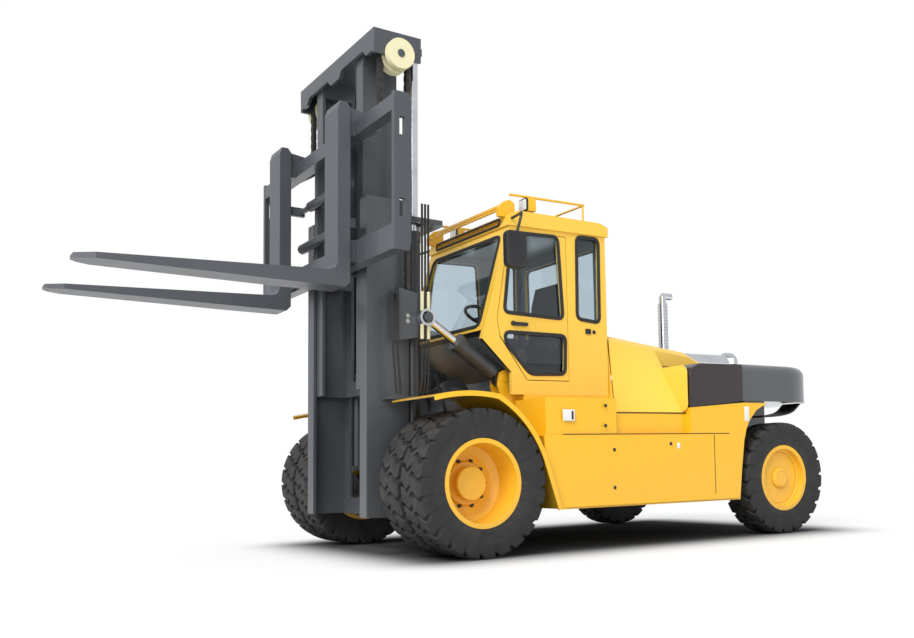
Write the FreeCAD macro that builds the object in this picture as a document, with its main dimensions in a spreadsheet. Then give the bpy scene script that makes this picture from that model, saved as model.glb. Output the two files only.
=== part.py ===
"""Heavy forklift truck, in millimetres: +Z up, the truck faces -Y, its left side is +X.

Every piece is drawn from the centre of the drive axle on the ground (Y = 0) and is moved to the model's
origin by its Placement. The mast's pieces are drawn upright and lean back about the mast's pivot.
"""

import FreeCAD, Part
import math
import os
import re
import Sketcher
from FreeCAD import Placement, Rotation, Vector

SIZES = {
    # the whole truck
    "axle_y": -700,
    "wheelbase": 3530,
    # wheels
    "drive_tyre_r": 600,
    "steer_tyre_r": 545,
    "tyre_wide": 315,
    "lug_deep": 26,
    "lug_count": 21,
    "tyre_facets": 30,
    "drive_tyre_x": 1430,
    "dual_pitch": 363,
    "steer_tyre_x": 1383,
    "drive_rim_r": 338,
    "steer_rim_r": 300,
    "flange_deep": 20,
    "rim_wall": 18,
    "rim_wide": 274,
    "spindle_r": 60,
    "run_gap": 0.05,
    "hub_cap_x": 1220,
    "hub_cap_r": 117,
    # axles and frame
    "axle_tube_r": 115,
    "axle_ball_r": 200,
    "hub_start_x": 745,
    "frame_out": 470,
    "frame_plate": 40,
    "frame_low": 500,
    "frame_top": 975,
    "frame_tail": 1290,
    "frame_end": 3950,
    "engine_half": 350,
    "kingpin_x": 1040,
    "kingpin_r": 35,
    "knuckle_eye_r": 70,
    # mast
    "mast_pivot_y": -180,
    "mast_pivot_z": 560,
    "mast_pin_r": 40,
    "mast_lean": 1.5,
    "mast_plate": 30,
    "outer_x": 623,
    "outer_wide": 130,
    "outer_front": -641,
    "outer_rear": -245,
    "outer_low": 320,
    "outer_top": 3000,
    "inner_x": 485,
    "inner_wide": 125,
    "inner_front": -611,
    "inner_rear": -290,
    "inner_low": 1400,
    "inner_top": 4160,
    "roller_gap": 0.3,
    "seat_gap": 0.3,
    "crosshead_half": 783,
    "crosshead_front": -656,
    "crosshead_rear": -214,
    "crosshead_high": 4346,
    "crosshead_deep": 186,
    "chain_x": 700,
    "chain_wide": 60,
    "chain_thick": 26,
    "sheave_y": -430,
    "sheave_z": 4155,
    "sheave_r": 127,
    "lift_x": 544,
    "lift_y": -170,
    "lift_r": 70,
    "lift_rod_r": 50,
    "lift_low": 760,
    "lift_high": 2760,
    # carriage and forks
    "bar_front": -795,
    "bar_thick": 105,
    "carriage_half": 1405,
    "top_bar_low": 3436,
    "top_bar_high": 3556,
    "low_bar_low": 2375,
    "low_bar_high": 2572,
    "fork_x": 640,
    "fork_wide": 260,
    "fork_front": -968,
    "fork_thick": 110,
    "fork_high": 3680,
    "heel_top": 2308,
    "heel_low": 2181,
    "tip_y": -2943,
    "tip_top": 2228,
    "tip_low": 2192,
    "fork_gap": 0.5,
    "spread_low_z": 2760,
    "spread_high_z": 3110,
    "spread_y": -745,
    "spread_r": 45,
    "spread_rod_r": 25,
    # tilt cylinders
    "tilt_x": 780,
    "tilt_front_y": -168,
    "tilt_front_z": 1991,
    "tilt_rear_y": 605,
    "tilt_rear_z": 1498,
    "tilt_r": 78,
    "tilt_rod_r": 35,
    "tilt_long": 545,
    "tilt_pin_r": 38,
    "tilt_eye_gap": 14,
    "tilt_eye_wall": 20,
    # body
    "side_x": 1400,
    "side_plate": 20,
    "skirt_low": 360,
    "skirt_top": 980,
    "skirt_front": 770,
    "skirt_rear": 2865,
    "step_top": 1290,
    "step_rear": 1400,
    "sill_top": 1165,
    "sill_x": 1340,
    "tail_front": 2262,
    "tail_top": 1220,
    "fender_in": 740,
    "fender_out": 1440,
    "fender_plate": 12,
    "weight_x": 1385,
    "weight_rear": 4300,
    "weight_low": 1290,
    "weight_top": 1650,
    "weight_corner": 670,
    "weight_front": 2945,
    # cab
    "cab_left": 950,
    "cab_right": -400,
    "cab_wall": 45,
    "cab_floor": 1345,
    "cab_top": 2810,
    "cab_front": 618,
    "cab_rear": 1685,
    "cab_low_y": 607,
    "knee_y": 313,
    "knee_z": 1818,
    "notch_z": 1538,
    "pillar_y": 1235,
    "door_gap": 6,
    "pane": 6,
    # hood
    "hood_front": 1695,
    "hood_half": 950,
    "hood_high": 1914,
    "hood_bend_y": 2685,
    "hood_bend_z": 1793,
    "hood_rear": 2935,
    "hood_rear_z": 1694,
    "hood_plate": 14,
    "hood_crown": 35,
    "spine_half": 60,
}

doc = FreeCAD.newDocument("heavy_forklift")
sheet = doc.addObject("Spreadsheet::Sheet", "Sizes")
for row, (name, value) in enumerate(SIZES.items(), 1):
    sheet.set(f"A{row}", name)
    sheet.set(f"B{row}", str(value))
    sheet.setAlias(f"B{row}", name)
doc.recompute()


class Cells:
    """Reads the sheet's cells as numbers, for the shapes that code works out."""

    def __getattr__(self, name):
        return float(sheet.get(name))


size = Cells()
AXES = {"X": Vector(1, 0, 0), "Y": Vector(0, 1, 0), "Z": Vector(0, 0, 1)}
PLANES = {
    "X": Rotation(Vector(1, 1, 1), 120),
    "Y": Rotation(Vector(1, 0, 0), 90),
    "Z": Rotation(),
}
STANDING = {
    "X": Rotation(Vector(0, 1, 0), 90),
    "Y": Rotation(Vector(1, 0, 0), -90),
    "Z": Rotation(),
}


def formula(text):
    """Turns a formula in cell names into one that an object's property understands."""
    def cell(found):
        return "Sizes." + found.group(0) if found.group(0) in SIZES else found.group(0)

    return re.sub(r"[a-z][a-z_0-9]*", cell, str(text))


def box(name, x, y, z):
    """A block between pairs of formulas along each axis."""
    item = doc.addObject("Part::Box", name)
    for side, axis, (low, high) in zip(("Length", "Width", "Height"), "xyz", (x, y, z)):
        item.setExpression(side, formula(f"({high}) - ({low})"))
        item.setExpression(f"Placement.Base.{axis}", formula(low))
    return item


def rod(name, radius, along, low, high, first, second):
    """A round bar along one axis; first and second are its centre on the two other axes, in order."""
    item = doc.addObject("Part::Cylinder", name)
    item.Placement = Placement(Vector(), STANDING[along])
    item.setExpression("Radius", formula(radius))
    item.setExpression("Height", formula(f"({high}) - ({low})"))
    rest = [axis for axis in "XYZ" if axis != along]
    for axis, place in zip([along] + rest, (low, first, second)):
        item.setExpression(f"Placement.Base.{axis.lower()}", formula(place))
    return item


def outline(name, along, points):
    """A sketch of straight edges square to one axis, every corner dimensioned from the origin."""
    sketch = doc.addObject("Sketcher::SketchObject", name + "_outline")
    sketch.Placement = Placement(Vector(), PLANES[along])
    count = len(points)
    turn = 2 * math.pi / count
    start = [Vector(900 * math.cos(turn * i), 900 * math.sin(turn * i), 0) for i in range(count)]
    for i in range(count):
        sketch.addGeometry(Part.LineSegment(start[i], start[(i + 1) % count]), False)
    for i in range(count):
        sketch.addConstraint(Sketcher.Constraint("Coincident", i, 2, (i + 1) % count, 1))
    for i, (across, up) in enumerate(points):
        for kind, value, text in (("DistanceX", start[i].x, across), ("DistanceY", start[i].y, up)):
            number = sketch.addConstraint(Sketcher.Constraint(kind, -1, 1, i, 1, value))
            sketch.setExpression(f"Constraints[{number}]", formula(text))
    return sketch


def prism(name, along, low, high, points):
    """An outline pushed along its axis from one formula to another."""
    sketch = outline(name, along, points)
    sketch.setExpression(f"Placement.Base.{along.lower()}", formula(low))
    item = doc.addObject("Part::Extrusion", name)
    item.Base = sketch
    item.DirMode = "Custom"
    item.Dir = AXES[along]
    item.Solid = True
    item.setExpression("LengthFwd", formula(f"({high}) - ({low})"))
    return item


def turned(name, points, along="X", y="0", z="0"):
    """A profile of (along, radius) corners turned once round an axis along X or Z."""
    sketch = outline(name, "Y", points if along == "X" else [(r, a) for a, r in points])
    item = doc.addObject("Part::Revolution", name)
    item.Source = sketch
    item.Axis = AXES[along]
    item.Base = Vector()
    item.Angle = 360
    item.Solid = True
    doc.recompute()
    item.setExpression("Placement.Base.y", formula(y))
    item.setExpression("Placement.Base.z", formula(z))
    return item


def fuse(name, *parts):
    item = doc.addObject("Part::MultiFuse", name)
    item.Shapes = list(parts)
    return item


def cut(name, base, *tools):
    item = doc.addObject("Part::Cut", name)
    item.Base = base
    item.Tool = tools[0] if len(tools) == 1 else fuse(name + "_tools", *tools)
    return item


def mirrored(name, source):
    item = doc.addObject("Part::Mirroring", name)
    item.Source = source
    item.Normal = Vector(1, 0, 0)
    return item


def shaped(name, shape):
    """A piece whose form is worked out in code from the sheet's cells."""
    item = doc.addObject("Part::Feature", name)
    item.Shape = shape
    return item


NODES = []


def node(label, *sources, lean=False):
    """Registers a named piece: the sources as one compound, moved from the axle to the origin."""
    item = doc.addObject("Part::Compound", "node_" + label)
    item.Links = list(sources)
    item.Label = label
    pivot = Vector(0, size.mast_pivot_y, size.mast_pivot_z)
    tilt = Rotation(Vector(1, 0, 0), -size.mast_lean if lean else 0)
    place = Placement(Vector(), tilt, pivot)
    place.Base.y += size.axle_y
    item.Placement = place
    if not lean:
        item.setExpression("Placement.Base.y", formula("axle_y"))
    NODES.append(item)


def pair(label, source, lean=False):
    """A left piece and its mirror image on the right."""
    node(label + "_left", source, lean=lean)
    node(label + "_right", mirrored(source.Name + "_mirror", source), lean=lean)


def twins(label, *sources, lean=False):
    """One node with left pieces and their mirror images."""
    copies = [mirrored(source.Name + "_mirror", source) for source in sources]
    node(label, *sources, *copies, lean=lean)


def facet_ring(profile, count):
    """A closed ring of flat facets: (x, radius) corners stepped round the X axis."""
    def corner(point, step):
        turn = 2 * math.pi * step / count
        return Vector(point[0], point[1] * math.sin(turn), point[1] * math.cos(turn))

    faces = []
    for step in range(count):
        for p, q in zip(profile, profile[1:] + profile[:1]):
            loop = [corner(p, step), corner(q, step), corner(q, step + 1), corner(p, step + 1)]
            faces.append(Part.Face(Part.makePolygon(loop + loop[:1])))
    shell = Part.makeShell(faces)
    shell.sewShape()
    solid = Part.makeSolid(shell)
    if solid.Volume < 0:
        solid.reverse()
    return solid


def lug(turn, x_low, x_high, low, high, wide):
    """One tread block: a tapering block on the crown, centred at an angle round the X axis."""
    base, top = wide / 2, wide * 0.42
    faces = []
    points = {}
    for i, x in enumerate((x_low, x_high)):
        for j, half in enumerate((base, top)):
            for k, sign in enumerate((-1, 1)):
                points[i, j, k] = Vector(x, sign * half, (low, high)[j])
    loops = [
        [(0, 0, 0), (0, 0, 1), (0, 1, 1), (0, 1, 0)],
        [(1, 0, 0), (1, 1, 0), (1, 1, 1), (1, 0, 1)],
        [(0, 0, 0), (1, 0, 0), (1, 0, 1), (0, 0, 1)],
        [(0, 1, 0), (0, 1, 1), (1, 1, 1), (1, 1, 0)],
        [(0, 0, 0), (0, 1, 0), (1, 1, 0), (1, 0, 0)],
        [(0, 0, 1), (1, 0, 1), (1, 1, 1), (0, 1, 1)],
    ]
    for loop in loops:
        corners = [points[key] for key in loop]
        faces.append(Part.Face(Part.makePolygon(corners + corners[:1])))
    shell = Part.makeShell(faces)
    shell.sewShape()
    shape = Part.makeSolid(shell)
    if shape.Volume < 0:
        shape.reverse()
    shape.rotate(Vector(), Vector(1, 0, 0), math.degrees(turn))
    return shape


def tyre(centre_x, radius, rim_r):
    """A lugged tyre about the X axis: a facetted carcass and two staggered rows of tread blocks."""
    half = size.tyre_wide / 2
    crown = radius - size.lug_deep
    seat = rim_r / math.cos(math.pi / size.tyre_facets) + 0.1
    side = [(0.71 * half, seat), (half, (seat + crown) / 2), (0.97 * half, crown - 29), (0.76 * half, crown)]
    profile = [(centre_x - x, r) for x, r in side] + [(centre_x + x, r) for x, r in reversed(side)]
    solids = [facet_ring(profile, int(size.tyre_facets))]
    count = int(size.lug_count)
    pitch = 2 * math.pi / count
    wide = radius * pitch * 0.66
    low = crown * math.cos(math.pi / size.tyre_facets) - 6
    for step in range(count):
        for row, sign in ((0, -1), (0.5, 1)):
            ends = sorted((centre_x - sign * 0.04 * half, centre_x + sign * 0.94 * half))
            solids.append(lug((step + row) * pitch, ends[0], ends[1], low, radius, wide))
    return Part.makeCompound(solids)


def raised(shape, y, z):
    return shape.translated(Vector(0, y, z))


# Drive wheels: twin tyres on one rim and hub each side.
outer_centre = size.drive_tyre_x - size.tyre_wide / 2
inner_centre = outer_centre - size.dual_pitch
drive_tyres = shaped(
    "drive_tyres",
    raised(
        Part.makeCompound(
            [tyre(x, size.drive_tyre_r, size.drive_rim_r) for x in (inner_centre, outer_centre)]
        ),
        0,
        size.drive_tyre_r,
    ),
)
pair("drive_tyres", drive_tyres)

outer_mid = "(drive_tyre_x - tyre_wide / 2)"
inner_mid = "(drive_tyre_x - tyre_wide / 2 - dual_pitch)"
rim_in = "drive_rim_r - rim_wall"
flange = "drive_rim_r + flange_deep"
drive_hub = turned(
    "drive_rim",
    [
        (f"{inner_mid} - rim_wide / 2", rim_in),
        (f"{inner_mid} - rim_wide / 2", flange),
        (f"{inner_mid} - rim_wide / 2 + 12", flange),
        (f"{inner_mid} - rim_wide / 2 + 12", "drive_rim_r"),
        (f"{inner_mid} + rim_wide / 2 - 12", "drive_rim_r"),
        (f"{inner_mid} + rim_wide / 2 - 12", flange),
        (f"{outer_mid} - rim_wide / 2 + 12", flange),
        (f"{outer_mid} - rim_wide / 2 + 12", "drive_rim_r"),
        (f"{outer_mid} + rim_wide / 2 - 12", "drive_rim_r"),
        (f"{outer_mid} + rim_wide / 2 - 12", flange),
        (f"{outer_mid} + rim_wide / 2", flange),
        (f"{outer_mid} + rim_wide / 2", rim_in),
        (f"{outer_mid} - rim_wide / 2 + 20", f"{rim_in} - 8"),
        ("hub_cap_x - 102", "drive_rim_r - 90"),
        ("hub_cap_x - 102", "hub_cap_r + 70"),
        ("hub_cap_x - 70", "hub_cap_r + 55"),
        ("hub_cap_x - 70", "hub_cap_r"),
        ("hub_cap_x", "hub_cap_r - 8"),
        ("hub_cap_x", "0"),
        ("hub_cap_x - 30", "0"),
        ("hub_cap_x - 30", "spindle_r + run_gap"),
        ("hub_start_x", "spindle_r + run_gap"),
        ("hub_start_x", "150"),
        ("hub_cap_x - 140", "150"),
        ("hub_cap_x - 130", "hub_cap_r + 70"),
        ("hub_cap_x - 130", "drive_rim_r - 90"),
        (f"{outer_mid} - rim_wide / 2 - 20", rim_in),
    ],
    z="drive_tyre_r",
)
pair("drive_rims", drive_hub)

# Drive axle: tubes, differential, spindles, pads under the frame and the mast's pivot ears.
ear_low = "outer_x - outer_wide / 2 - 77"
ear_high = "outer_x - outer_wide / 2 + 77"
axle_parts = [
    turned("axle_casing", [
        ("10 - hub_start_x", "0"),
        ("10 - hub_start_x", "axle_tube_r"),
        ("-axle_ball_r - 60", "axle_tube_r"),
        ("-axle_ball_r * 0.55", "axle_ball_r"),
        ("axle_ball_r * 0.55", "axle_ball_r"),
        ("axle_ball_r + 60", "axle_tube_r"),
        ("hub_start_x - 10", "axle_tube_r"),
        ("hub_start_x - 10", "0"),
    ], z="drive_tyre_r"),
    rod("axle_spindles", "spindle_r", "X", "-hub_cap_x + 40", "hub_cap_x - 40", "0", "drive_tyre_r"),
]
for tag, sign in (("l", 1), ("r", -1)):
    for number, (low, high) in enumerate(((f"{ear_low}", f"{ear_low} + 38"), (f"{ear_high} - 38", ear_high))):
        ends = (low, high) if sign > 0 else (f"-({high})", f"-({low})")
        plate = prism(
            f"pivot_ear_{tag}{number}",
            "X",
            *ends,
            [
                ("0", "drive_tyre_r + 90"),
                ("0", "drive_tyre_r - 110"),
                ("mast_pivot_y", "mast_pivot_z - 70"),
                ("mast_pivot_y - 36", "mast_pivot_z - 40"),
                ("mast_pivot_y - 50", "mast_pivot_z"),
                ("mast_pivot_y - 36", "mast_pivot_z + 40"),
                ("mast_pivot_y", "mast_pivot_z + 70"),
            ],
        )
        axle_parts.append(plate)
    ends = (ear_low, ear_high) if sign > 0 else (f"-({ear_high})", f"-({ear_low})")
    axle_parts.append(rod(f"mast_pin_{tag}", "mast_pin_r", "X", *ends, "mast_pivot_y", "mast_pivot_z"))
    ends = ("frame_out - 50", "frame_out + 10") if sign > 0 else ("-frame_out - 10", "50 - frame_out")
    axle_parts.append(box(f"axle_pad_{tag}", ends, ("-90", "90"), ("drive_tyre_r + 60", "drive_tyre_r + 120")))
node("drive_axle", fuse("axle_body", *axle_parts))

# Frame: two side members tied by cross members.
side_member = prism(
    "side_member",
    "X",
    "frame_out - frame_plate",
    "frame_out",
    [
        ("-90", "drive_tyre_r + 120"),
        ("150", "drive_tyre_r + 120"),
        ("260", "frame_low"),
        ("skirt_rear - 20", "frame_low"),
        ("wheelbase - 420", "760"),
        ("frame_end", "760"),
        ("frame_end", "frame_tail"),
        ("weight_front", "frame_tail"),
        ("skirt_rear", "frame_top"),
        ("-90", "frame_top"),
    ],
)
frame_in = "frame_out - frame_plate"
ties = [
    box("front_tie", (f"-({frame_in})", frame_in), ("-80", "-40"), ("drive_tyre_r + 230", "frame_top")),
    box("middle_tie", (f"-({frame_in})", frame_in), ("1300", "1340"), ("frame_low", "frame_top")),
    box("rear_tie", (f"-({frame_in})", frame_in), ("skirt_rear", "skirt_rear + 40"), ("760", "frame_top")),
    box("steer_pad", (f"-({frame_in})", frame_in), ("wheelbase - 130", "wheelbase + 130"), ("760", "900")),
    box("engine_mount_l", ("engine_half + seat_gap", frame_in), ("2250", "2350"), ("640", "700")),
    box("engine_mount_r", (f"-({frame_in})", "-engine_half - seat_gap"), ("2250", "2350"), ("640", "700")),
]
for tag, sign in (("l", ""), ("r", "-")):
    for number, y in enumerate(("900", "2500")):
        ends = (frame_in, "480") if tag == "l" else ("-480", f"-({frame_in})")
        ties.append(box(f"outrigger_{tag}{number}", ends, (y, f"{y} + 60"), ("frame_low", "frame_top - 5")))
node("frame", fuse("frame_body", side_member, mirrored("side_member_right", side_member), *ties))

# Transmission and engine, plain blocks at their real places between the side members.
node("transmission", prism(
    "transmission_body",
    "X",
    "-300",
    "300",
    [("205", "560"), ("1299", "560"), ("1299", "960"), ("720", "960"), ("700", "1230"), ("360", "1230"), ("205", "960")],
))
node("engine_block", box("engine_body", ("-engine_half", "engine_half"), ("1780", "2850"), ("frame_low", "1480")))

# Side bodies: the low tank boxes, the step box ahead, the sill behind it and the tail box.
side_in = "side_x - side_plate"
side_parts = [
    prism("tank_box", "X", "480", side_in, [
        ("skirt_front + 20", "skirt_low + 5"),
        ("skirt_rear", "skirt_low + 5"),
        ("skirt_rear", "skirt_top - 5"),
        ("skirt_front - 150", "skirt_top - 5"),
        ("skirt_front - 110", "skirt_low + 410"),
    ]),
    box("step_box", ("cab_left", side_in), ("skirt_front - 130", "step_rear"), ("skirt_top - 5", "step_top")),
    box("sill_box", ("cab_left", "sill_x"), ("step_rear", "tail_front"), ("skirt_top - 5", "sill_top")),
    box("tail_box", ("cab_left", side_in), ("tail_front", "skirt_rear"), ("skirt_top - 5", "tail_top")),
]
twins("side_bodies", fuse("side_body_solid", *side_parts))
skin = prism("side_skin_plate", "X", side_in, "side_x", [
    ("skirt_front - 18.4", "skirt_low"),
    ("skirt_rear + 5", "skirt_low"),
    ("skirt_rear + 39", "skirt_low + 273"),
    ("skirt_rear + 84", "skirt_low + 560"),
    ("skirt_rear + 120", "skirt_low + 670"),
    ("skirt_rear + 167", "skirt_low + 748"),
    ("skirt_rear + 260", "skirt_low + 842"),
    ("skirt_rear + 410", "skirt_low + 912"),
    ("weight_front", "skirt_low + 912"),
    ("tail_front", "tail_top"),
    ("tail_front", "skirt_top"),
    ("skirt_front - 160", "skirt_top"),
    ("skirt_front - 152", "skirt_low + 410"),
])
twins("side_skins", skin)

# Cab base: the closed body under the cab between the two side bodies.
node("cab_base", box(
    "cab_base_body", ("-cab_left", "cab_left"), ("735", "hood_front"), ("frame_top", "cab_floor")
))


def fender_shape():
    """A curved sheet over the drive tyres: a level front, a rounded shoulder and a straight tail."""
    top = [Vector(0, -450, 1288), Vector(0, -150, 1328), Vector(0, 152, 1306)]
    shoulder = [Vector(0, 152, 1306), Vector(0, 440, 1075), Vector(0, 617, 772)]
    path = Part.Wire([
        Part.Arc(*top).toShape(),
        Part.Arc(*shoulder).toShape(),
        Part.LineSegment(Vector(0, 617, 772), Vector(0, 748, 370)).toShape(),
    ])
    band = path.makeOffset2D(size.fender_plate, join=2, fill=True, openResult=True)
    sheet_body = band.extrude(Vector(size.fender_out - size.fender_in, 0, 0))
    sheet_body = sheet_body.translated(Vector(size.fender_in, 0, 0))
    lip = path.makeOffset2D(3.5 * size.fender_plate, join=2, fill=True, openResult=True)
    lip = lip.extrude(Vector(size.fender_plate, 0, 0))
    lip = lip.translated(Vector(size.fender_out - size.fender_plate, 0, 0))
    return sheet_body.fuse(lip).removeSplitter()


twins("fenders", shaped("fender_sheet", fender_shape()))

# Tilt cylinder mounts on the front of the cab base.
mount_parts = []
for number, (low, high) in enumerate((("tilt_x - 68", "tilt_x - 42"), ("tilt_x + 42", "tilt_x + 68"))):
    mount_parts.append(prism(f"tilt_ear{number}", "X", low, high, [
        ("tilt_rear_y - 70", "tilt_rear_z - 70"),
        ("tilt_rear_y - 55", "tilt_rear_z + 45"),
        ("tilt_rear_y", "tilt_rear_z + 70"),
        ("tilt_rear_y + 55", "tilt_rear_z + 45"),
        ("735", "cab_floor"),
        ("735", "1080"),
        ("tilt_rear_y + 10", "1120"),
    ]))
mount_parts.append(box(
    "tilt_web", ("tilt_x - 68", "tilt_x + 68"), ("tilt_rear_y + 10", "735"), ("1120", "tilt_rear_z - 110")
))
mount_parts.append(rod(
    "tilt_pin", "tilt_pin_r", "X", "tilt_x - 75", "tilt_x + 75", "tilt_rear_y", "tilt_rear_z"
))
twins("tilt_mounts", fuse("tilt_mount_body", *mount_parts))


def weight_slab():
    """The counterweight: a plan with two large round corners, its upper edge rounded over."""
    x, rear, r = size.weight_x, size.weight_rear, size.weight_corner
    front = size.weight_front
    edge = x - 30
    bend = r * (1 - math.sqrt(0.5))
    corners = [
        Part.LineSegment(Vector(-x, front, 0), Vector(x, front, 0)),
        Part.LineSegment(Vector(x, front, 0), Vector(edge, rear - r, 0)),
        Part.Arc(Vector(edge, rear - r, 0), Vector(edge - bend, rear - bend, 0), Vector(edge - r, rear, 0)),
        Part.LineSegment(Vector(edge - r, rear, 0), Vector(r - edge, rear, 0)),
        Part.Arc(Vector(r - edge, rear, 0), Vector(bend - edge, rear - bend, 0), Vector(-edge, rear - r, 0)),
        Part.LineSegment(Vector(-edge, rear - r, 0), Vector(-x, front, 0)),
    ]
    face = Part.Face(Part.Wire([c.toShape() for c in corners]))
    slab = face.extrude(Vector(0, 0, size.weight_top - size.weight_low))
    slab = slab.translated(Vector(0, 0, size.weight_low))
    rim = [
        e for e in slab.Edges
        if abs(e.BoundBox.ZMin - size.weight_top) < 0.01 and e.BoundBox.YMax > front + 1
    ]
    slab = slab.makeFillet(85, rim)
    low = Part.makeBox(1000, rear - 30 - size.frame_end, size.weight_low - 450, Vector(-500, size.frame_end, 450))
    return slab.fuse(low).removeSplitter()


node("counterweight", shaped("counterweight_body", weight_slab()))

cheek = prism("cheek_block", "X", "hood_half + 12", "side_x", [
    ("tail_front", "tail_top + 5"),
    ("weight_front", "weight_low"),
    ("weight_front", "weight_top - 18"),
    ("tail_front + 130", "weight_top - 22"),
    ("tail_front + 40", "weight_top - 60"),
    ("tail_front", "weight_top - 130"),
])
twins("cheeks", cheek)


def hood_door():
    """One gull-wing half of the hood: its crowned top, its side that flares to the tail and the rear top."""
    t = size.hood_plate
    half, inner = size.hood_half, size.spine_half + 6
    crown = size.hood_crown

    def section(y, z, foot_x, foot_z):
        points = [
            (inner, z + crown), (half * 0.6, z + crown * 0.6), (half - 60, z), (half, z - 50),
            (foot_x, foot_z), (foot_x - t, foot_z), (half - t, z - 50 - t / 2),
            (half - 60 - t / 2, z - t), (half * 0.6, z + crown * 0.6 - t), (inner, z + crown - t),
        ]
        wire = [Vector(x, y, height) for x, height in points]
        return Part.makePolygon(wire + wire[:1])

    def top_at(y):
        if y <= size.hood_bend_y:
            share = (y - size.hood_front) / (size.hood_bend_y - size.hood_front)
            return size.hood_high + share * (size.hood_bend_z - size.hood_high)
        share = (y - size.hood_bend_y) / (size.hood_rear - size.hood_bend_y)
        return size.hood_bend_z + share * (size.hood_rear_z - size.hood_bend_z)

    front, tail = size.hood_front + 11, size.tail_front - 6
    foot = size.sill_top + 6
    lower = Part.makeLoft(
        [section(front, top_at(front), half + 70, foot), section(tail, top_at(tail), size.sill_x - 10, foot)],
        True, True,
    )
    rear_foot = size.weight_top - 8
    stations = (tail, size.hood_bend_y, size.hood_rear)
    upper = [
        section(y, top_at(y), half + 1, min(rear_foot, top_at(y) - 60)) for y in stations
    ]
    upper = Part.makeLoft(upper, True, True)
    return lower.fuse(upper)


pair("hood", shaped("hood_door", hood_door()))
spine = prism("hood_spine_body", "X", "-spine_half", "spine_half", [
    ("hood_front", "hood_high + hood_crown - 60"),
    ("hood_bend_y", "hood_bend_z + hood_crown - 60"),
    ("hood_rear", "hood_rear_z + hood_crown - 60"),
    ("hood_rear", "hood_rear_z + hood_crown"),
    ("hood_bend_y", "hood_bend_z + hood_crown"),
    ("hood_front", "hood_high + hood_crown"),
])
bulkhead = prism("bulkhead", "Y", "hood_front", "hood_front + 5", [
    ("-hood_half - 60", "sill_top"),
    ("hood_half + 60", "sill_top"),
    ("hood_half - 20", "hood_high - 60"),
    ("hood_half - 80", "hood_high - 20"),
    ("spine_half", "hood_high + 10"),
    ("-spine_half", "hood_high + 10"),
    ("80 - hood_half", "hood_high - 20"),
    ("20 - hood_half", "hood_high - 60"),
])
spine_post = box("spine_post", ("-30", "30"), ("hood_rear - 60", "hood_rear"), ("frame_tail", "hood_rear_z"))
rear_deck = box("rear_deck", ("-frame_out", "frame_out"), ("2860", "weight_front - 15.5"), ("frame_tail - 60", "frame_tail"))
node("hood_frame", fuse("hood_frame_body", bulkhead, rear_deck, spine, spine_post))

# Exhaust on the counterweight: an upright pipe with a bent cap and a lying silencer with a domed end.
stack = [
    rod("stack_pipe", "52", "Z", "weight_top", "2450", "0", "3285"),
    rod("stack_foot", "80", "Z", "weight_top", "weight_top + 30", "0", "3285"),
    rod("stack_tip", "38", "Z", "2450", "2530", "0", "3285"),
    rod("stack_spout", "38", "Y", "3285", "3400", "0", "2530"),
]
silencer = [
    rod("silencer_pipe", "95", "Y", "3300", "3900", "300", "1780"),
    rod("silencer_dome", "125", "Y", "3900", "3960", "300", "1780"),
    box("silencer_foot", ("250", "350"), ("3450", "3510"), ("weight_top", "1720")),
    box("silencer_foot_rear", ("250", "350"), ("3760", "3820"), ("weight_top", "1720")),
]
node("exhaust", fuse("exhaust_stack_body", *stack), fuse("silencer_body", *silencer))

# Cab: side walls, sloping front, firewall, floor, rear wall and roof.
left_in = "cab_left - cab_wall"
right_in = "cab_right + cab_wall"
side_points = [
    ("cab_low_y", "cab_floor"),
    ("cab_rear", "cab_floor"),
    ("cab_rear", "cab_top"),
    ("cab_front", "cab_top"),
    ("knee_y", "knee_z"),
    ("cab_low_y", "notch_z"),
]
door_points = [
    ("cab_front + 2", "cab_top - 40"),
    ("pillar_y", "cab_top - 40"),
    ("pillar_y", "cab_floor + 125"),
    ("770", "cab_floor + 125"),
    ("495", "knee_z + 22"),
    ("470", "knee_z + 180"),
]
upper_window = [("642", "2752"), ("1140", "2760"), ("1178", "2030"), ("548", "2055")]
lower_window = [("552", "1884"), ("1200", "1878"), ("1186", "1536"), ("802", "1527"), ("552", "1790")]
rear_window = [("1355", "2785"), ("1606", "2785"), ("1595", "2018"), ("1340", "2040")]


def inset(points, gap, shifts):
    """Moves each corner of a door outline inwards by the gap, along the given signs."""
    return [
        (f"{y} + {sy} * {gap}", f"{z} + {sz} * {gap}") for (y, z), (sy, sz) in zip(points, shifts)
    ]


door_in = inset(door_points, "door_gap", [(1.3, -1), (-1, -1), (-1, 1), (0.4, 1), (1.4, 0.6), (1.2, 0)])
left_wall = cut(
    "left_wall",
    prism("left_wall_plate", "X", left_in, "cab_left", side_points),
    prism("door_hole", "X", f"{left_in} - 5", "cab_left + 5", door_points),
    prism("rear_window_hole_l", "X", f"{left_in} - 5", "cab_left + 5", rear_window),
)
right_wall = cut(
    "right_wall",
    prism("right_wall_plate", "X", "cab_right", right_in, side_points),
    prism("upper_window_hole_r", "X", "cab_right - 5", f"{right_in} + 5", upper_window),
    prism("lower_window_hole_r", "X", "cab_right - 5", f"{right_in} + 5", lower_window),
    prism("rear_window_hole_r", "X", "cab_right - 5", f"{right_in} + 5", rear_window),
)
slope = "(cab_front - knee_y) / (cab_top - knee_z)"
glass_low = "1935"
glass_high = "2735"


def on_slope(z, back="0"):
    return (f"knee_y + ({z} - knee_z) * {slope} + {back}", z)


def slope_strip(name, low, high, x_low, x_high, back="0", deep="cab_wall"):
    return prism(name, "X", x_low, x_high, [
        on_slope(low, back), on_slope(low, f"{back} + {deep}"),
        on_slope(high, f"{back} + {deep}"), on_slope(high, back),
    ])


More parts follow.
